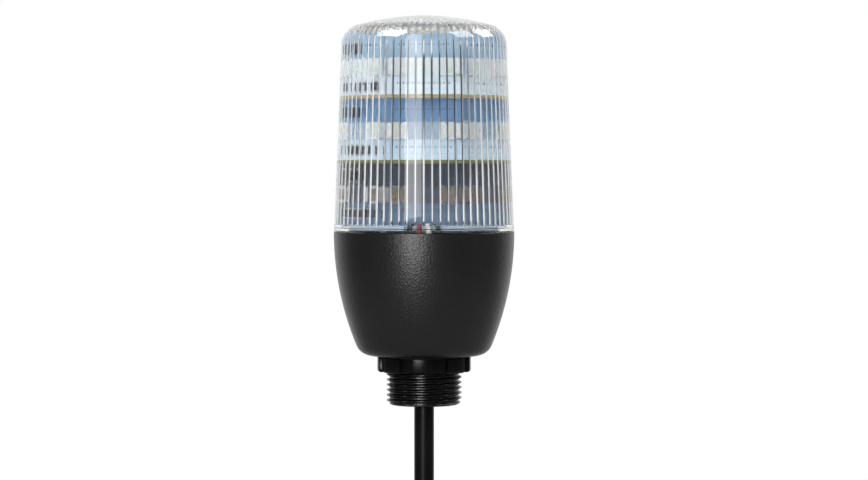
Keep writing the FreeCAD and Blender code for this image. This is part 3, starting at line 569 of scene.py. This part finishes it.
def repeatTree():
    tree, given = newTree("parts on the faces", [
        ("First Face", "Int", 0), ("Face Step", "Int", 1), ("Faces", "Int", 6), ("Across", "Int", 2), (
            "Pitch", "Float", 0.014
        ),
        ("Tiers", "Int", 3), ("Tier Rise", "Float", 0.0186), ("Out", "Float", 0.0178), ("Side", "Float", 0.0),
        ("Height", "Float", 0.0471), ("Material", "Material", None),
    ])
    index = add(tree, "GeometryNodeInputIndex")
    perTier = add(tree, "Math", {0: given["Faces"], 1: given["Across"]}, operation="MULTIPLY")
    count = add(tree, "Math", {0: perTier, 1: given["Tiers"]}, operation="MULTIPLY")
    tier = add(tree, "Math", {
        0: add(tree, "Math", {0: index, 1: perTier}, operation="DIVIDE"),
    }, operation="FLOOR")
    left = add(tree, "Math", {0: index, 1: perTier}, operation="FLOORED_MODULO")
    face = add(tree, "Math", {
        0: add(tree, "Math", {0: left, 1: given["Across"]}, operation="DIVIDE"),
    }, operation="FLOOR")
    seat = add(tree, "Math", {0: left, 1: given["Across"]}, operation="FLOORED_MODULO")
    sixth = add(tree, "Math", {
        0: face, 1: given["Face Step"], 2: given["First Face"],
    }, operation="MULTIPLY_ADD")
    angle = add(tree, "Math", {0: sixth, 1: math.pi / 3}, operation="MULTIPLY")
    middle = add(tree, "Math", {0: given["Across"], 1: 0.5, 2: -0.5}, operation="MULTIPLY_ADD")
    step = add(tree, "Math", {0: seat, 1: middle}, operation="SUBTRACT")
    side = add(tree, "Math", {0: step, 1: given["Pitch"], 2: given["Side"]}, operation="MULTIPLY_ADD")
    spot = add(tree, "CombineXYZ", {
        "X": side,
        "Y": add(tree, "Math", {0: given["Out"], 1: -1.0}, operation="MULTIPLY"),
        "Z": add(tree, "Math", {0: tier, 1: given["Tier Rise"], 2: given["Height"]}, operation="MULTIPLY_ADD"),
    })
    placed = add(tree, "VectorRotate", {"Vector": spot, "Angle": angle}, rotation_type="Z_AXIS")
    points = add(tree, "GeometryNodePoints", {"Count": count, "Position": placed})
    spin = add(tree, "FunctionNodeEulerToRotation", {"Euler": add(tree, "CombineXYZ", {"Z": angle})})
    copies = add(tree, "GeometryNodeInstanceOnPoints", {
        "Points": points, "Instance": given["Geometry"], "Rotation": spin,
    })
    closeTree(tree, copies, given["Material"])
    return tree


repeated = repeatTree()


loopPoints = 24


def squareLoop(width, high, corner, out, cut=0.0):
    # a rounded rectangle seen from the front at the distance out; cut takes off one corner
    loop = []
    for i in range(loopPoints):
        at = 2 * math.pi * (i + 0.5) / loopPoints
        dx, dz = math.cos(at), math.sin(at)
        reach = min(width / 2 / max(abs(dx), 1e-9), high / 2 / max(abs(dz), 1e-9))
        x, z = dx * reach, dz * reach
        overX, overZ = abs(x) - (width / 2 - corner), abs(z) - (high / 2 - corner)
        if overX > 0 and overZ > 0:
            pull = corner / max(math.hypot(overX, overZ), corner)
            x = math.copysign(width / 2 - corner + overX * pull, x)
            z = math.copysign(high / 2 - corner + overZ * pull, z)
        if cut and x + z > (width + high) / 2 - cut:
            back = (x + z - (width + high) / 2 + cut) / 2
            x, z = x - back, z - back
        loop.append((x, -out, z))
    return loop


def circleLoop(radius, out):
    angles = [2 * math.pi * (i + 0.5) / loopPoints for i in range(loopPoints)]
    return [(radius * math.cos(at), -out, radius * math.sin(at)) for at in angles]


def boxesMesh(boxes):
    # blocks with a fine bevel: (low corner, high corner), in mm
    work = bmesh.new()
    for low, high in boxes:
        made = bmesh.ops.create_cube(work, size=1.0)["verts"]
        for vert in made:
            vert.co = Vector([low[k] + (vert.co[k] + 0.5) * (high[k] - low[k]) for k in range(3)]) * mm
        edges = list({e for v in made for e in v.link_edges})
        bmesh.ops.bevel(work, geom=edges, offset=0.06 * mm, segments=1, affect="EDGES", profile=0.5)
    mesh = bpy.data.meshes.new("shape")
    work.to_mesh(mesh)
    work.free()
    return mesh


ringPlan = {"boardFront": 17.84, "tierRise": 18.25, "ledHeight": 46.9, "ledPitch": 14.0}
ledPlan = {
    "side": 5.0, "high": 1.6, "mouth": 1.9, "cup": 1.55, "deep": 0.5,
    "tab": 0.9, "tabHigh": 0.95, "tabsAt": (-1.6, 0.0, 1.6),
    "body": "#e8ebee", "dust": "#d2d7dc", "shadedBody": "#857a74", "shadedDust": "#6b605a",
    "shadedUpTo": (50, 60), "lessShadeLeft": (-6, -13),  # heights, and distances left of the middle
    # the window's first stop is the lowest tier's painted shade
    "window": [(0.04, "#7d6a5c"), (0.3, "#dedbd2"), (0.9, "#e6e6e2")],
}
chipPlan = {
    "width": 1.0, "high": 0.6, "long": 3.1, "cap": 0.45, "across": 8, "pitch": 2.15, "height": 41.45,
    "firstFace": 2, "faceStep": 3, "faces": 2,
}
regulatorPlan = {
    "width": 2.6, "high": 1.1, "long": 4.2, "leg": 0.6, "legWide": 0.4, "tabWide": 1.6, "legHigh": 0.42,
    "legsAt": (-0.85, 0.0, 0.85), "side": -4.5, "pitch": 5.0, "height": 52.4,
}

onFaces = {
    "Out": ringPlan["boardFront"] * mm, "Tier Rise": ringPlan["tierRise"] * mm,
    "Height": ringPlan["ledHeight"] * mm, "Pitch": ringPlan["ledPitch"] * mm,
}
onDrivers = {
    **onFaces, "First Face": chipPlan["firstFace"], "Face Step": chipPlan["faceStep"],
    "Faces": chipPlan["faces"],
}
asChips = {
    **onDrivers, "Across": chipPlan["across"], "Pitch": chipPlan["pitch"] * mm,
    "Height": chipPlan["height"] * mm,
}
asRegulators = {
    **onDrivers, "Across": 2, "Pitch": regulatorPlan["pitch"] * mm, "Side": regulatorPlan["side"] * mm,
    "Height": regulatorPlan["height"] * mm,
}


def smallParts(name, mesh, material, places, replaced=()):
    made = grown(name, mesh, repeated, {**places, "Material": material}, 30.0)
    if replaced:
        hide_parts(*replaced)
    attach(made, "light")


# LED package: white moulded PPA block with one cut corner and a conical cup
led = ledPlan
side, front, mouth, cupFloor = led["side"], led["high"], led["mouth"], led["high"] - led["deep"]
outline = [  # narrower than the side by, corner, distance out, cut
    (0.06, 0.15, 0.0, 0.55), (0.0, 0.2, front * 0.5, 0.6),
    (0.06, 0.2, front - 0.1, 0.6), (0.26, 0.15, front, 0.6),
]
ledBody = ringMesh([
    *[squareLoop(side - less, side - less, corner, out, cut) for less, corner, out, cut in outline],
    circleLoop(mouth + 0.04, front), circleLoop(mouth - 0.04, front - 0.06), circleLoop(led["cup"], cupFloor),
    circleLoop(0.5, cupFloor),
])
ledPpa, tree, shader, place = newMaterial("white_ppa")
# painted shade on the lowest tier's packages: it fades out between the two heights and lessens to the left
spot = add(tree, "SeparateXYZ", {"Vector": place})
start, end = led["shadedUpTo"]
above = add(tree, "MapRange", {"Value": spot.outputs["Z"], "From Min": start * mm, "From Max": end * mm})
start, end = led["lessShadeLeft"]
aside = add(tree, "MapRange", {
    "Value": spot.outputs["X"], "From Min": start * mm, "From Max": end * mm, "To Max": 0.6,
})
high = add(tree, "Math", {0: above, 1: aside}, operation="MAXIMUM")
dust = add(tree, "TexNoise", {"Vector": place, "Scale": 1600.0, "Detail": 3.0})
litTone = add(tree, "ValToRGB", {"Fac": dust}, stops=[(0.3, led["dust"]), (0.6, led["body"])])
shadedTone = add(tree, "ValToRGB", {"Fac": dust}, stops=[(0.3, led["shadedDust"]), (0.6, led["shadedBody"])])
# painted shade: the lowest tier's packages are darker and brownish, less so on the left where the light falls
setInputs(tree, shader, {
    "Base Color": add(tree, "Mix", {0: high, 6: shadedTone, 7: litTone}, data_type="RGBA").outputs[2],
    "Roughness": add(tree, "MapRange", {"Value": dust, "To Min": 0.4, "To Max": 0.6}),
    "Normal": add(tree, "Bump", {"Height": dust, "Distance": 0.00002}),
})
tiers = ["lower", "middle", "upper"]
smallParts("led_packages", ledBody, ledPpa, onFaces, [t + "_leds" for t in tiers])

# silicone window over the chip: clear gel with phosphor, crowned a little, darker and warmer in the lowest tier
# as painted shade
windowGel, tree, shader, place = newMaterial("phosphor_silicone")
high = add(tree, "MapRange", {
    "Value": add(tree, "SeparateXYZ", {"Vector": place}).outputs["Z"], "From Min": 0.050, "From Max": 0.090,
})
settle = add(tree, "TexNoise", {"Vector": place, "Scale": 900.0, "Detail": 2.0})
mix = add(tree, "Math", {0: settle, 1: 0.12, 2: high}, operation="MULTIPLY_ADD")
setInputs(tree, shader, {
    "Base Color": add(tree, "ValToRGB", {"Fac": mix}, stops=led["window"]),
    "Roughness": add(tree, "MapRange", {"Value": settle, "To Min": 0.1, "To Max": 0.2}),
    "IOR": 1.42,
    "Subsurface Weight": 0.3,
    "Subsurface Scale": 0.0006,
})
windowMesh = ringMesh([
    circleLoop(mouth - 0.06, front - 0.1), circleLoop(mouth * 0.8, front - 0.03),
    circleLoop(mouth * 0.45, front + 0.03), circleLoop(mouth * 0.12, front + 0.05),
])
smallParts("led_windows", windowMesh, windowGel, onFaces)

# tinned copper legs and caps: soft grey metal, slightly frosted
tinned = plainFinish("tinned_copper", "#b9bab8", "#d6d6d2", 0.34, 1.5, 0.3, 0.01, 0.5, 1.0)
half, tab = side / 2, led["tab"] / 2
tabs = boxesMesh([
    ((x - tab, -led["tabHigh"], z - 0.1), (x + tab, 0.0, z + 0.1))
    for x in led["tabsAt"] for z in (-half - 0.02, half + 0.02)
])
smallParts("led_tabs", tabs, tinned, onFaces)

# thick-film resistors: dark glass over alumina, tinned caps at both ends
ceramic = plainFinish("black_overglaze", "#131314", "#202022", 0.3, 1.2, 0.3, 0.006, 0.5)
chip = chipPlan
half, body = chip["width"] / 2, chip["long"] / 2 - chip["cap"]
smallParts(
    "resistor_bodies", boxesMesh([
        ((0.03 - half, 0.04 - chip["high"], -body - 0.1), (half - 0.03, 0.0, body + 0.1)),
    ]),
    ceramic, asChips, [t + "_resistors" for t in tiers],
)
smallParts(
    "resistor_caps", boxesMesh([
        ((-half, -chip["high"], foot), (half, 0.0, foot + chip["cap"])) for foot in (-chip["long"] / 2, body)
    ]),
    tinned, asChips,
)

# regulators: moulded epoxy body, three legs below and a wide tab above
reg = regulatorPlan
body = reg["long"] / 2 - reg["leg"]
epoxy = plainFinish("moulded_epoxy", "#161617", "#232324", 0.45, 1.5, 0.25, 0.012, 0.4)
smallParts(
    "regulator_bodies", ringMesh([
        squareLoop(reg["width"] - less, 2 * body - less, corner, out) for less, corner, out in (
            (0.16, 0.1, 0.0), (0.0, 0.12, reg["high"] * 0.45),
            (0.22, 0.12, reg["high"] - 0.05), (0.36, 0.1, reg["high"]),
        )
    ]),
    epoxy, asRegulators, [t + "_regulators" for t in tiers],
)
half, tab, end, proud = reg["legWide"] / 2, reg["tabWide"] / 2, reg["long"] / 2, -reg["legHigh"]
legs = [((x - half, proud, -end), (x + half, 0.0, 0.05 - body)) for x in reg["legsAt"]]
legs.append(((-tab, proud, body - 0.05), (tab, 0.0, end)))
smallParts("regulator_legs", boxesMesh(legs), tinned, asRegulators)
print("small parts placed")


# boards


boardPlan = {
    "tierFoot": 38.2, "tierRise": 18.25, "paintedShade": 11.2, "halfWidth": 9.57,
    "viaRows": (4.1, 15.0), "viaPitch": 1.3, "via": 0.2,
    "inkLow": 6.2, "inkHigh": 11.4,
    "cutEdge": "#9fb4c8", "drilled": "#252a32",
    # mask in painted shade, mask in light, ink; all three painted darker from tier to tier downwards as shade
    "lower": ("#343e51", "#54708f", "#3f4757"),
    "middle": ("#6a94c1", "#cfe3f4", "#9bb2c8"),
    "upper": ("#9bb8d2", "#e2effa", "#e0e7ea"),
}


def maskedBoard(name, paintedShade, bare, ink, plan):
    # solder mask over glass-epoxy laminate, with painted shade: deeper in a band above the LEDs, where the disc
    # above shades the board, paler below it
    material, tree, shader, place = newMaterial(name)
    scaled = add(tree, "VectorMath", {0: place, "Scale": 1000.0}, operation="SCALE")
    flat = add(tree, "SeparateXYZ", {"Vector": scaled})
    # turn every face to the front: X runs along the board, Z up
    ahead = add(tree, "Math", {0: flat.outputs["Y"], 1: -1.0}, operation="MULTIPLY")
    bearing = add(tree, "Math", {0: flat.outputs["X"], 1: ahead}, operation="ARCTAN2")
    halfOn = add(tree, "Math", {0: bearing, 1: math.pi / 6})
    turn = add(tree, "Math", {0: halfOn, 1: math.pi / 3}, operation="SNAP")
    back = add(tree, "Math", {0: turn, 1: -1.0}, operation="MULTIPLY")
    local = add(tree, "SeparateXYZ", {
        "Vector": add(tree, "VectorRotate", {"Vector": scaled, "Angle": back}, rotation_type="Z_AXIS"),
    })
    along, high = local.outputs["X"], local.outputs["Z"]
    risen = add(tree, "Math", {0: high, 1: plan["tierFoot"]}, operation="SUBTRACT")
    up = add(tree, "Math", {0: risen, 1: plan["tierRise"]}, operation="FLOORED_MODULO")
    # painted shade from the disc above, from the LEDs' middle up, with an uneven border
    ragged = add(tree, "TexNoise", {"Vector": place, "Scale": 420.0, "Detail": 1.0})
    border = add(tree, "Math", {0: ragged, 1: 2.4, 2: up}, operation="MULTIPLY_ADD")
    # tracks: thin lines that show through the mask
    tracks = add(tree, "TexBrick", {
        "Vector": add(tree, "CombineXYZ", {"X": along, "Y": up}),
        "Scale": 1.0, "Mortar Size": 0.09, "Mortar Smooth": 0.3,
        "Brick Width": 3.1, "Row Height": 2.3, "Color1": "#ffffff", "Color2": "#f6f6f6", "Mortar": "#dedede",
    })
    # the bar's ink is thin in places
    worn = add(tree, "MapRange", {
        "Value": add(tree, "TexNoise", {"Vector": place, "Scale": 1500.0, "Detail": 2.0}),
        "From Min": 0.35, "From Max": 0.55, "To Min": 0.55,
    })
    # rows of plated through holes
    offset = add(tree, "Math", {0: along, 1: plan["viaPitch"]}, operation="PINGPONG")
    aside = add(tree, "Math", {0: offset, 1: plan["viaPitch"] / 2}, operation="SUBTRACT")
    nearest = None
    for row in plan["viaRows"]:
        away = add(tree, "Math", {0: up, 1: row}, operation="SUBTRACT")
        spot = add(tree, "VectorMath", {
            0: add(tree, "CombineXYZ", {"X": aside, "Y": away}),
        }, operation="LENGTH").outputs["Value"]
        nearest = spot if nearest is None else add(tree, "Math", {0: nearest, 1: spot}, operation="MINIMUM")
    reach = add(tree, "Math", {0: along}, operation="ABSOLUTE")
    # masks that rise from 0 to 1: the painted shade, both sides of the printed bar, the holes and the cut edge
    shadedShare, inkFoot, inkTop, hole, edge = [
        add(tree, "MapRange", {"Value": value, "From Min": start, "From Max": end}) for value, start, end in (
            (border, plan["paintedShade"] + 0.9, plan["paintedShade"] + 1.5), (up, plan["inkLow"], plan["inkLow"] + 0.15),
            (up, plan["inkHigh"], plan["inkHigh"] - 0.15), (nearest, plan["via"] + 0.08, plan["via"]),
            (reach, plan["halfWidth"] - 0.08, plan["halfWidth"] - 0.02),
        )
    ]
    bar = add(tree, "Math", {0: inkFoot, 1: inkTop}, operation="MULTIPLY")
    printed = add(tree, "Math", {0: bar, 1: worn}, operation="MULTIPLY")
    # laid over each other from the mask in light up, the painted shade first
    colour = bare
    for share, layer, how in (
        (shadedShare, paintedShade, "MIX"), (0.7, tracks, "MULTIPLY"), (printed, ink, "MIX"), (hole, plan["drilled"], "MIX"),
        (edge, plan["cutEdge"], "MIX"),
    ):
        colour = add(tree, "Mix", {0: share, 6: colour, 7: layer}, data_type="RGBA", blend_type=how).outputs[2]
    setInputs(tree, shader, {
        "Base Color": colour,
        "Roughness": add(tree, "MapRange", {"Value": ragged, "To Min": 0.3, "To Max": 0.42}),
        "Normal": add(tree, "Bump", {"Height": shadedShare, "Distance": 0.00003}),
        "Specular IOR Level": 0.45,
    })
    return material


# each tier's boards take that tier's colours, darker towards the bottom as painted shade
for tier in tiers:
    mask = maskedBoard(tier + "_solder_mask_painted_shade", *boardPlan[tier], boardPlan)
    repaint(mask, *[f"{tier}_led_board_{face + 1}" for face in range(6)])


def laminate(name, faceDark, facePale, edgeDark, edgePale):
    # glass-epoxy disc: masked faces with a faint weave, and a routed edge that shows its layers
    material, tree, shader, place = newMaterial(name)
    upward = add(tree, "SeparateXYZ", {"Vector": add(tree, "NewGeometry").outputs["True Normal"]}).outputs["Z"]
    faceOn = add(tree, "Math", {
        0: add(tree, "Math", {0: upward}, operation="ABSOLUTE"), 1: 0.5,
    }, operation="GREATER_THAN")
    weave = add(tree, "TexWave", {
        "Vector": place, "Scale": 300.0, "Distortion": 1.5, "Detail": 1.0,
    }, bands_direction="DIAGONAL")
    layers = add(tree, "TexNoise", {
        "Vector": add(tree, "Mapping", {"Vector": place, "Scale": (0.12, 0.12, 1.0)}),
        "Scale": 5200.0, "Detail": 2.0,
    })
    faceColour = add(tree, "ValToRGB", {"Fac": weave}, stops=[(0.0, faceDark), (1.0, facePale)])
    edgeColour = add(tree, "ValToRGB", {"Fac": layers}, stops=[(0.3, edgeDark), (0.7, edgePale)])
    setInputs(tree, shader, {
        "Base Color": add(tree, "Mix", {0: faceOn, 6: edgeColour, 7: faceColour}, data_type="RGBA").outputs[2],
        "Roughness": add(tree, "MapRange", {"Value": layers, "To Min": 0.45, "To Max": 0.65}),
        "Normal": add(tree, "Bump", {"Height": layers, "Distance": 0.00002}),
    })
    return material


# the tier discs' edges darken from the top disc down: painted shade
discPlan = {  # faces, then edges, dark and pale
    "lower_tier_disc": ("#dfe3e4", "#eef1f1", "#5d6038", "#8d8c55"),
    "middle_tier_disc": ("#dfe3e4", "#eef1f1", "#9c8a63", "#c9b78c"),
    "top_disc": ("#e4e8ea", "#f3f5f5", "#b6ac90", "#d3ccb4"),
    "carrier_board": ("#c3d6e8", "#dcebf6", "#b4c9dc", "#cedeeb"),
    "power_board": ("#d3d8da", "#e6e9ea", "#9c8f6a", "#b9ac84"),
}
for name, shades in discPlan.items():
    repaint(laminate(name + "_laminate", *shades), name)
print("boards finished")


# the rest of the model's own nodes

# black rubber, moulded: dull and slightly dusty
sealRubber = plainFinish("black_rubber", "#0f0f0f", "#1a1a1a", 0.62, 5.0, 0.5, 0.015, 0.3)
repaint(sealRubber, "lens_seal", "panel_gasket", "cable_grommet")
repaint(leadPvc, "lead_inner_end")

# zinc plated steel: bright bluish grey with a faint cloudiness
zinc = plainFinish("zinc_plated_steel", "#9fa4a8", "#c6cacd", 0.3, 2.0, 0.3, 0.008, 0.5, 1.0)
repaint(zinc, "carrier_screws")


def toppedWithMetal(name, height, plastic, metal, rough, scale, detail):
    # plastic up to a height in mm and metal above it, both broken up by one fine noise
    material, tree, shader, place = newMaterial(name)
    high = add(tree, "SeparateXYZ", {"Vector": place}).outputs["Z"]
    above = add(tree, "Math", {0: high, 1: height * mm}, operation="GREATER_THAN")
    grain = add(tree, "TexNoise", {"Vector": place, "Scale": scale, "Detail": detail})
    below = add(tree, "ValToRGB", {"Fac": grain}, stops=[(0.3, plastic[0]), (0.7, plastic[1])])
    bright = add(tree, "ValToRGB", {"Fac": grain}, stops=[(0.3, metal[0]), (0.7, metal[1])])
    setInputs(tree, shader, {
        "Base Color": add(tree, "Mix", {0: above, 6: below, 7: bright}, data_type="RGBA").outputs[2],
        "Metallic": above,
        "Roughness": add(tree, "MapRange", {"Value": grain, "To Min": rough[0], "To Max": rough[1]}),
    })
    return material


# pin headers: a moulded strip, matt black, with gold flashed square pins above it
stripPlan = {
    "height": 2.52, "strip": ("#161617", "#222223"), "pins": ("#c3a862", "#dcc484"),
    "feet": {"lower_header": 38.3, "middle_header": 56.9, "upper_header": 75.5, "power_header": 25.6},
}
for name, foot in stripPlan["feet"].items():
    strip = toppedWithMetal(
        name + "_strip_and_pins", foot + stripPlan["height"], stripPlan["strip"], stripPlan["pins"],
        rough=(0.3, 0.5), scale=1800.0, detail=2.0,
    )
    repaint(strip, name)

# epoxy body of the rectifier
repaint(epoxy, "bridge_rectifier")

# electrolytic capacitor: shrunk PVC sleeve round the side, bare aluminium on top
canPlan = {"sleeveTop": 35.0, "sleeve": ("#17181c", "#25262b"), "can": ("#b4b6b8", "#cfd1d2")}
sleeved = toppedWithMetal(
    "sleeved_aluminium", canPlan["sleeveTop"], canPlan["sleeve"], canPlan["can"],
    rough=(0.28, 0.42), scale=700.0, detail=3.0,
)
repaint(sleeved, "smoothing_capacitor")

# single cores: extruded PVC in four colours, waxy gloss
corePlan = {
    "black": ("#111112", "#1c1c1d"), "red": ("#8f2426", "#a43033"),
    "white": ("#e6e6e2", "#f2f2ee"), "green": ("#16402a", "#1c4d33"),
}
for name, (dark, pale) in corePlan.items():
    repaint(plainFinish(name + "_core_pvc", dark, pale, 0.35, 3.0, 0.5, 0.006), "core_" + name)

# the stripped end: four insulated cores by quadrant, with twisted copper strands below the cut
endPlan = {"X": -11.1, "Y": 11.6, "Z": -110.0}  # middle of the four, and the height where their jackets end
strands, tree, shader, place = newMaterial("stripped_core_ends")
spot = add(tree, "SeparateXYZ", {"Vector": place})
right, rear, bare = [
    add(tree, "Math", {0: spot.outputs[axis], 1: endPlan[axis] * mm}, operation=how)
    for axis, how in (("X", "GREATER_THAN"), ("Y", "GREATER_THAN"), ("Z", "LESS_THAN"))
]
frontPair = add(tree, "Mix", {0: right, 6: "#141415", 7: "#b31d1d"}, data_type="RGBA")
rearPair = add(tree, "Mix", {0: right, 6: "#ecece8", 7: "#20733d"}, data_type="RGBA")
coloured = add(tree, "Mix", {0: rear, 6: frontPair.outputs[2], 7: rearPair.outputs[2]}, data_type="RGBA")
twist = add(tree, "TexWave", {"Vector": place, "Scale": 420.0, "Distortion": 0.6}, bands_direction="DIAGONAL")
copper = add(tree, "ValToRGB", {"Fac": twist}, stops=[(0.0, "#a8643c"), (1.0, "#d99a6c")])
setInputs(tree, shader, {
    "Base Color": add(tree, "Mix", {0: bare, 6: coloured.outputs[2], 7: copper}, data_type="RGBA").outputs[2],
    "Metallic": bare,
    "Roughness": add(tree, "MapRange", {"Value": twist, "To Min": 0.28, "To Max": 0.42}),
    "Normal": add(tree, "Bump", {"Height": twist, "Strength": 0.5, "Distance": 0.00006}),
})
repaint(strands, "stripped_cores")

# cable tie: moulded nylon with fine ratchet teeth across the strap
tieNylon, tree, shader, place = newMaterial("black_tie_nylon")
teeth = add(tree, "TexWave", {"Vector": place, "Scale": 330.0}, bands_direction="X")
cloud = add(tree, "TexNoise", {"Vector": place, "Scale": 500.0, "Detail": 3.0})
setInputs(tree, shader, {
    "Base Color": add(tree, "ValToRGB", {"Fac": cloud}, stops=[(0.3, "#0e0e0f"), (0.7, "#191919")]),
    "Roughness": add(tree, "MapRange", {"Value": cloud, "To Min": 0.32, "To Max": 0.45}),
    "Normal": add(tree, "Bump", {"Height": teeth, "Strength": 0.4, "Distance": 0.0001}),
    "Specular IOR Level": 0.4,
})
repaint(tieNylon, "cable_tie")
print("finishes done")


# floor and light

floorPlan = {
    "height": -0.1305, "radius": 0.7, "points": 96, "colour": "#ececea", "lift": 0.2,
    "frontGloss": 0.3, "frontFrom": 0.2, "frontTo": 0.6,
}

floorMesh = bpy.data.meshes.new("floor")
turns = [2 * math.pi * i / floorPlan["points"] for i in range(floorPlan["points"])]
wide, low = floorPlan["radius"], floorPlan["height"]
floorMesh.from_pydata(
    [(wide * math.cos(a), wide * math.sin(a), low) for a in turns], [], [tuple(range(len(turns)))]
)
# pale matt paint, lifted to white where the camera or a mirror looks at it
floorPaint = bpy.data.materials.new("pale_floor")
floorPaint.use_nodes = True
tree = floorPaint.node_tree
tree.nodes.clear()
rays = add(tree, "LightPath")
mirrored = add(tree, "Math", {
    0: rays.outputs["Is Glossy Ray"], 1: rays.outputs["Is Transmission Ray"],
}, operation="MAXIMUM")
seen = add(tree, "Math", {0: rays.outputs["Is Camera Ray"], 1: mirrored}, operation="MAXIMUM")
matte = add(tree, "BsdfDiffuse", {"Color": floorPlan["colour"]})
lift = add(tree, "Emission", {
    "Strength": add(tree, "Math", {0: seen, 1: floorPlan["lift"]}, operation="MULTIPLY"),
})
# what mirrors the floor in front of the object meets the dimmer room there
ahead = add(tree, "MapRange", {
    "Value": add(tree, "SeparateXYZ", {"Vector": add(tree, "TexCoord").outputs["Object"]}).outputs["Y"],
    "From Min": floorPlan["frontTo"], "From Max": floorPlan["frontFrom"],
    "To Max": 1.0 - floorPlan["frontGloss"],
})
dimmed = add(tree, "Math", {0: rays.outputs["Is Glossy Ray"], 1: ahead}, operation="MULTIPLY")
lit = add(tree, "AddShader", {0: matte, 1: lift})
unlit = add(tree, "Emission", {"Strength": 0.0})
add(tree, "OutputMaterial", {"Surface": add(tree, "MixShader", {0: dimmed, 1: lit, 2: unlit})})
floor = meshObject("floor", floorMesh, floorPaint)

studioPlan = {
    "around": 0.6, "frontClear": 0.04,
    "spans": {  # axis of a ray's direction, where a change starts and ends on it, and its two values
        "front": ("Y", 0.25, -0.45, 0.0, 1.0), "overFloor": ("Z", 0.056, 0.064, 0.0, 1.0),
        "underLamps": ("Z", 0.65, 0.35, 0.0, 1.0), "offLeft": ("X", -1.0, -0.8, 0.0, 1.0),
        "inside": ("X", -0.7, 0.7, 2.3, 1.0), "gloss": ("Y", 0.35, 0.95, 0.14, 1.0),
    },
}

world = bpy.data.worlds.new("studio")
bpy.context.scene.world = world
world.use_nodes = True
world.cycles.sampling_method = "NONE"  # every surface meets the side of the studio that its rays reach
tree = world.node_tree
tree.nodes.clear()
rays = add(tree, "LightPath")
way = add(tree, "SeparateXYZ", {"Vector": add(tree, "TexCoord").outputs["Object"]})
# white behind, below and at the far left; clear parts meet a dim room in front, and gloss darkens forward
spans = {}
for name, (axis, start, end, low, high) in studioPlan["spans"].items():
    spans[name] = add(tree, "MapRange", {
        "Value": way.outputs[axis], "From Min": start, "From Max": end, "To Min": low, "To Max": high,
    })
ahead = spans["front"]
for name in ("overFloor", "underLamps", "offLeft"):
    ahead = add(tree, "Math", {0: ahead, 1: spans[name]}, operation="MULTIPLY")
through = add(tree, "MapRange", {"Value": ahead, "To Min": 1.0, "To Max": studioPlan["frontClear"]})
scattered = add(tree, "Math", {0: rays.outputs["Diffuse Depth"], 1: 0.5}, operation="GREATER_THAN")
# the boards are lit through the lens, more from the left
clearPart = add(tree, "Mix", {0: scattered, 2: through, 3: spans["inside"]})
mirrored = add(tree, "Mix", {0: rays.outputs["Is Glossy Ray"], 2: studioPlan["around"], 3: spans["gloss"]})
seenThrough = add(tree, "Mix", {0: rays.outputs["Is Transmission Ray"], 2: mirrored, 3: clearPart})
strength = add(tree, "Mix", {0: rays.outputs["Is Camera Ray"], 2: seenThrough, 3: 1.0})
background = add(tree, "Background", {"Color": "#ffffff", "Strength": strength})
add(tree, "OutputWorld", {"Surface": background})

lightPlan = {  # place, aim, width, height, watts, seen in gloss only
    "keyLeft": ((-0.55, -0.45, 0.75), (0, 0, 0.06), 0.45, 0.45, 5.0, False),
    "fillRight": ((0.60, -0.30, 0.60), (0, 0, 0.06), 0.40, 0.40, 3.5, False),
    "stripHigh": ((-0.165, -0.64, 0.36), (-0.165, 0, 0.36), 0.26, 0.56, 1.9, True),
    "stripLow": ((-0.165, -0.64, -0.005), (-0.165, 0, -0.005), 0.2, 0.12, 1.75, True),
    "softLeft": ((-0.586, -0.382, 0.732), (0, 0, 0.09), 0.6, 0.5, 6.7, True),
    "softRight": ((0.72, 0.234, 0.59), (0, 0, 0.09), 0.42, 0.36, 5.0, True),
}


def areaLight(name, place, aim, width, height, watts, glossOnly):
    data = bpy.data.lights.new(name, "AREA")
    data.shape = "RECTANGLE"
    data.size, data.size_y = width, height
    data.energy = watts
    lamp = bpy.data.objects.new(name, data)
    lamp.location = place
    lamp.rotation_euler = (Vector(aim) - Vector(place)).to_track_quat("-Z", "Y").to_euler()
    lamp.visible_camera = False
    lamp.visible_transmission = False
    lamp.visible_diffuse = not glossOnly
    bpy.context.scene.collection.objects.link(lamp)


for name, plan in lightPlan.items():
    areaLight(name, *plan)
print("studio set")
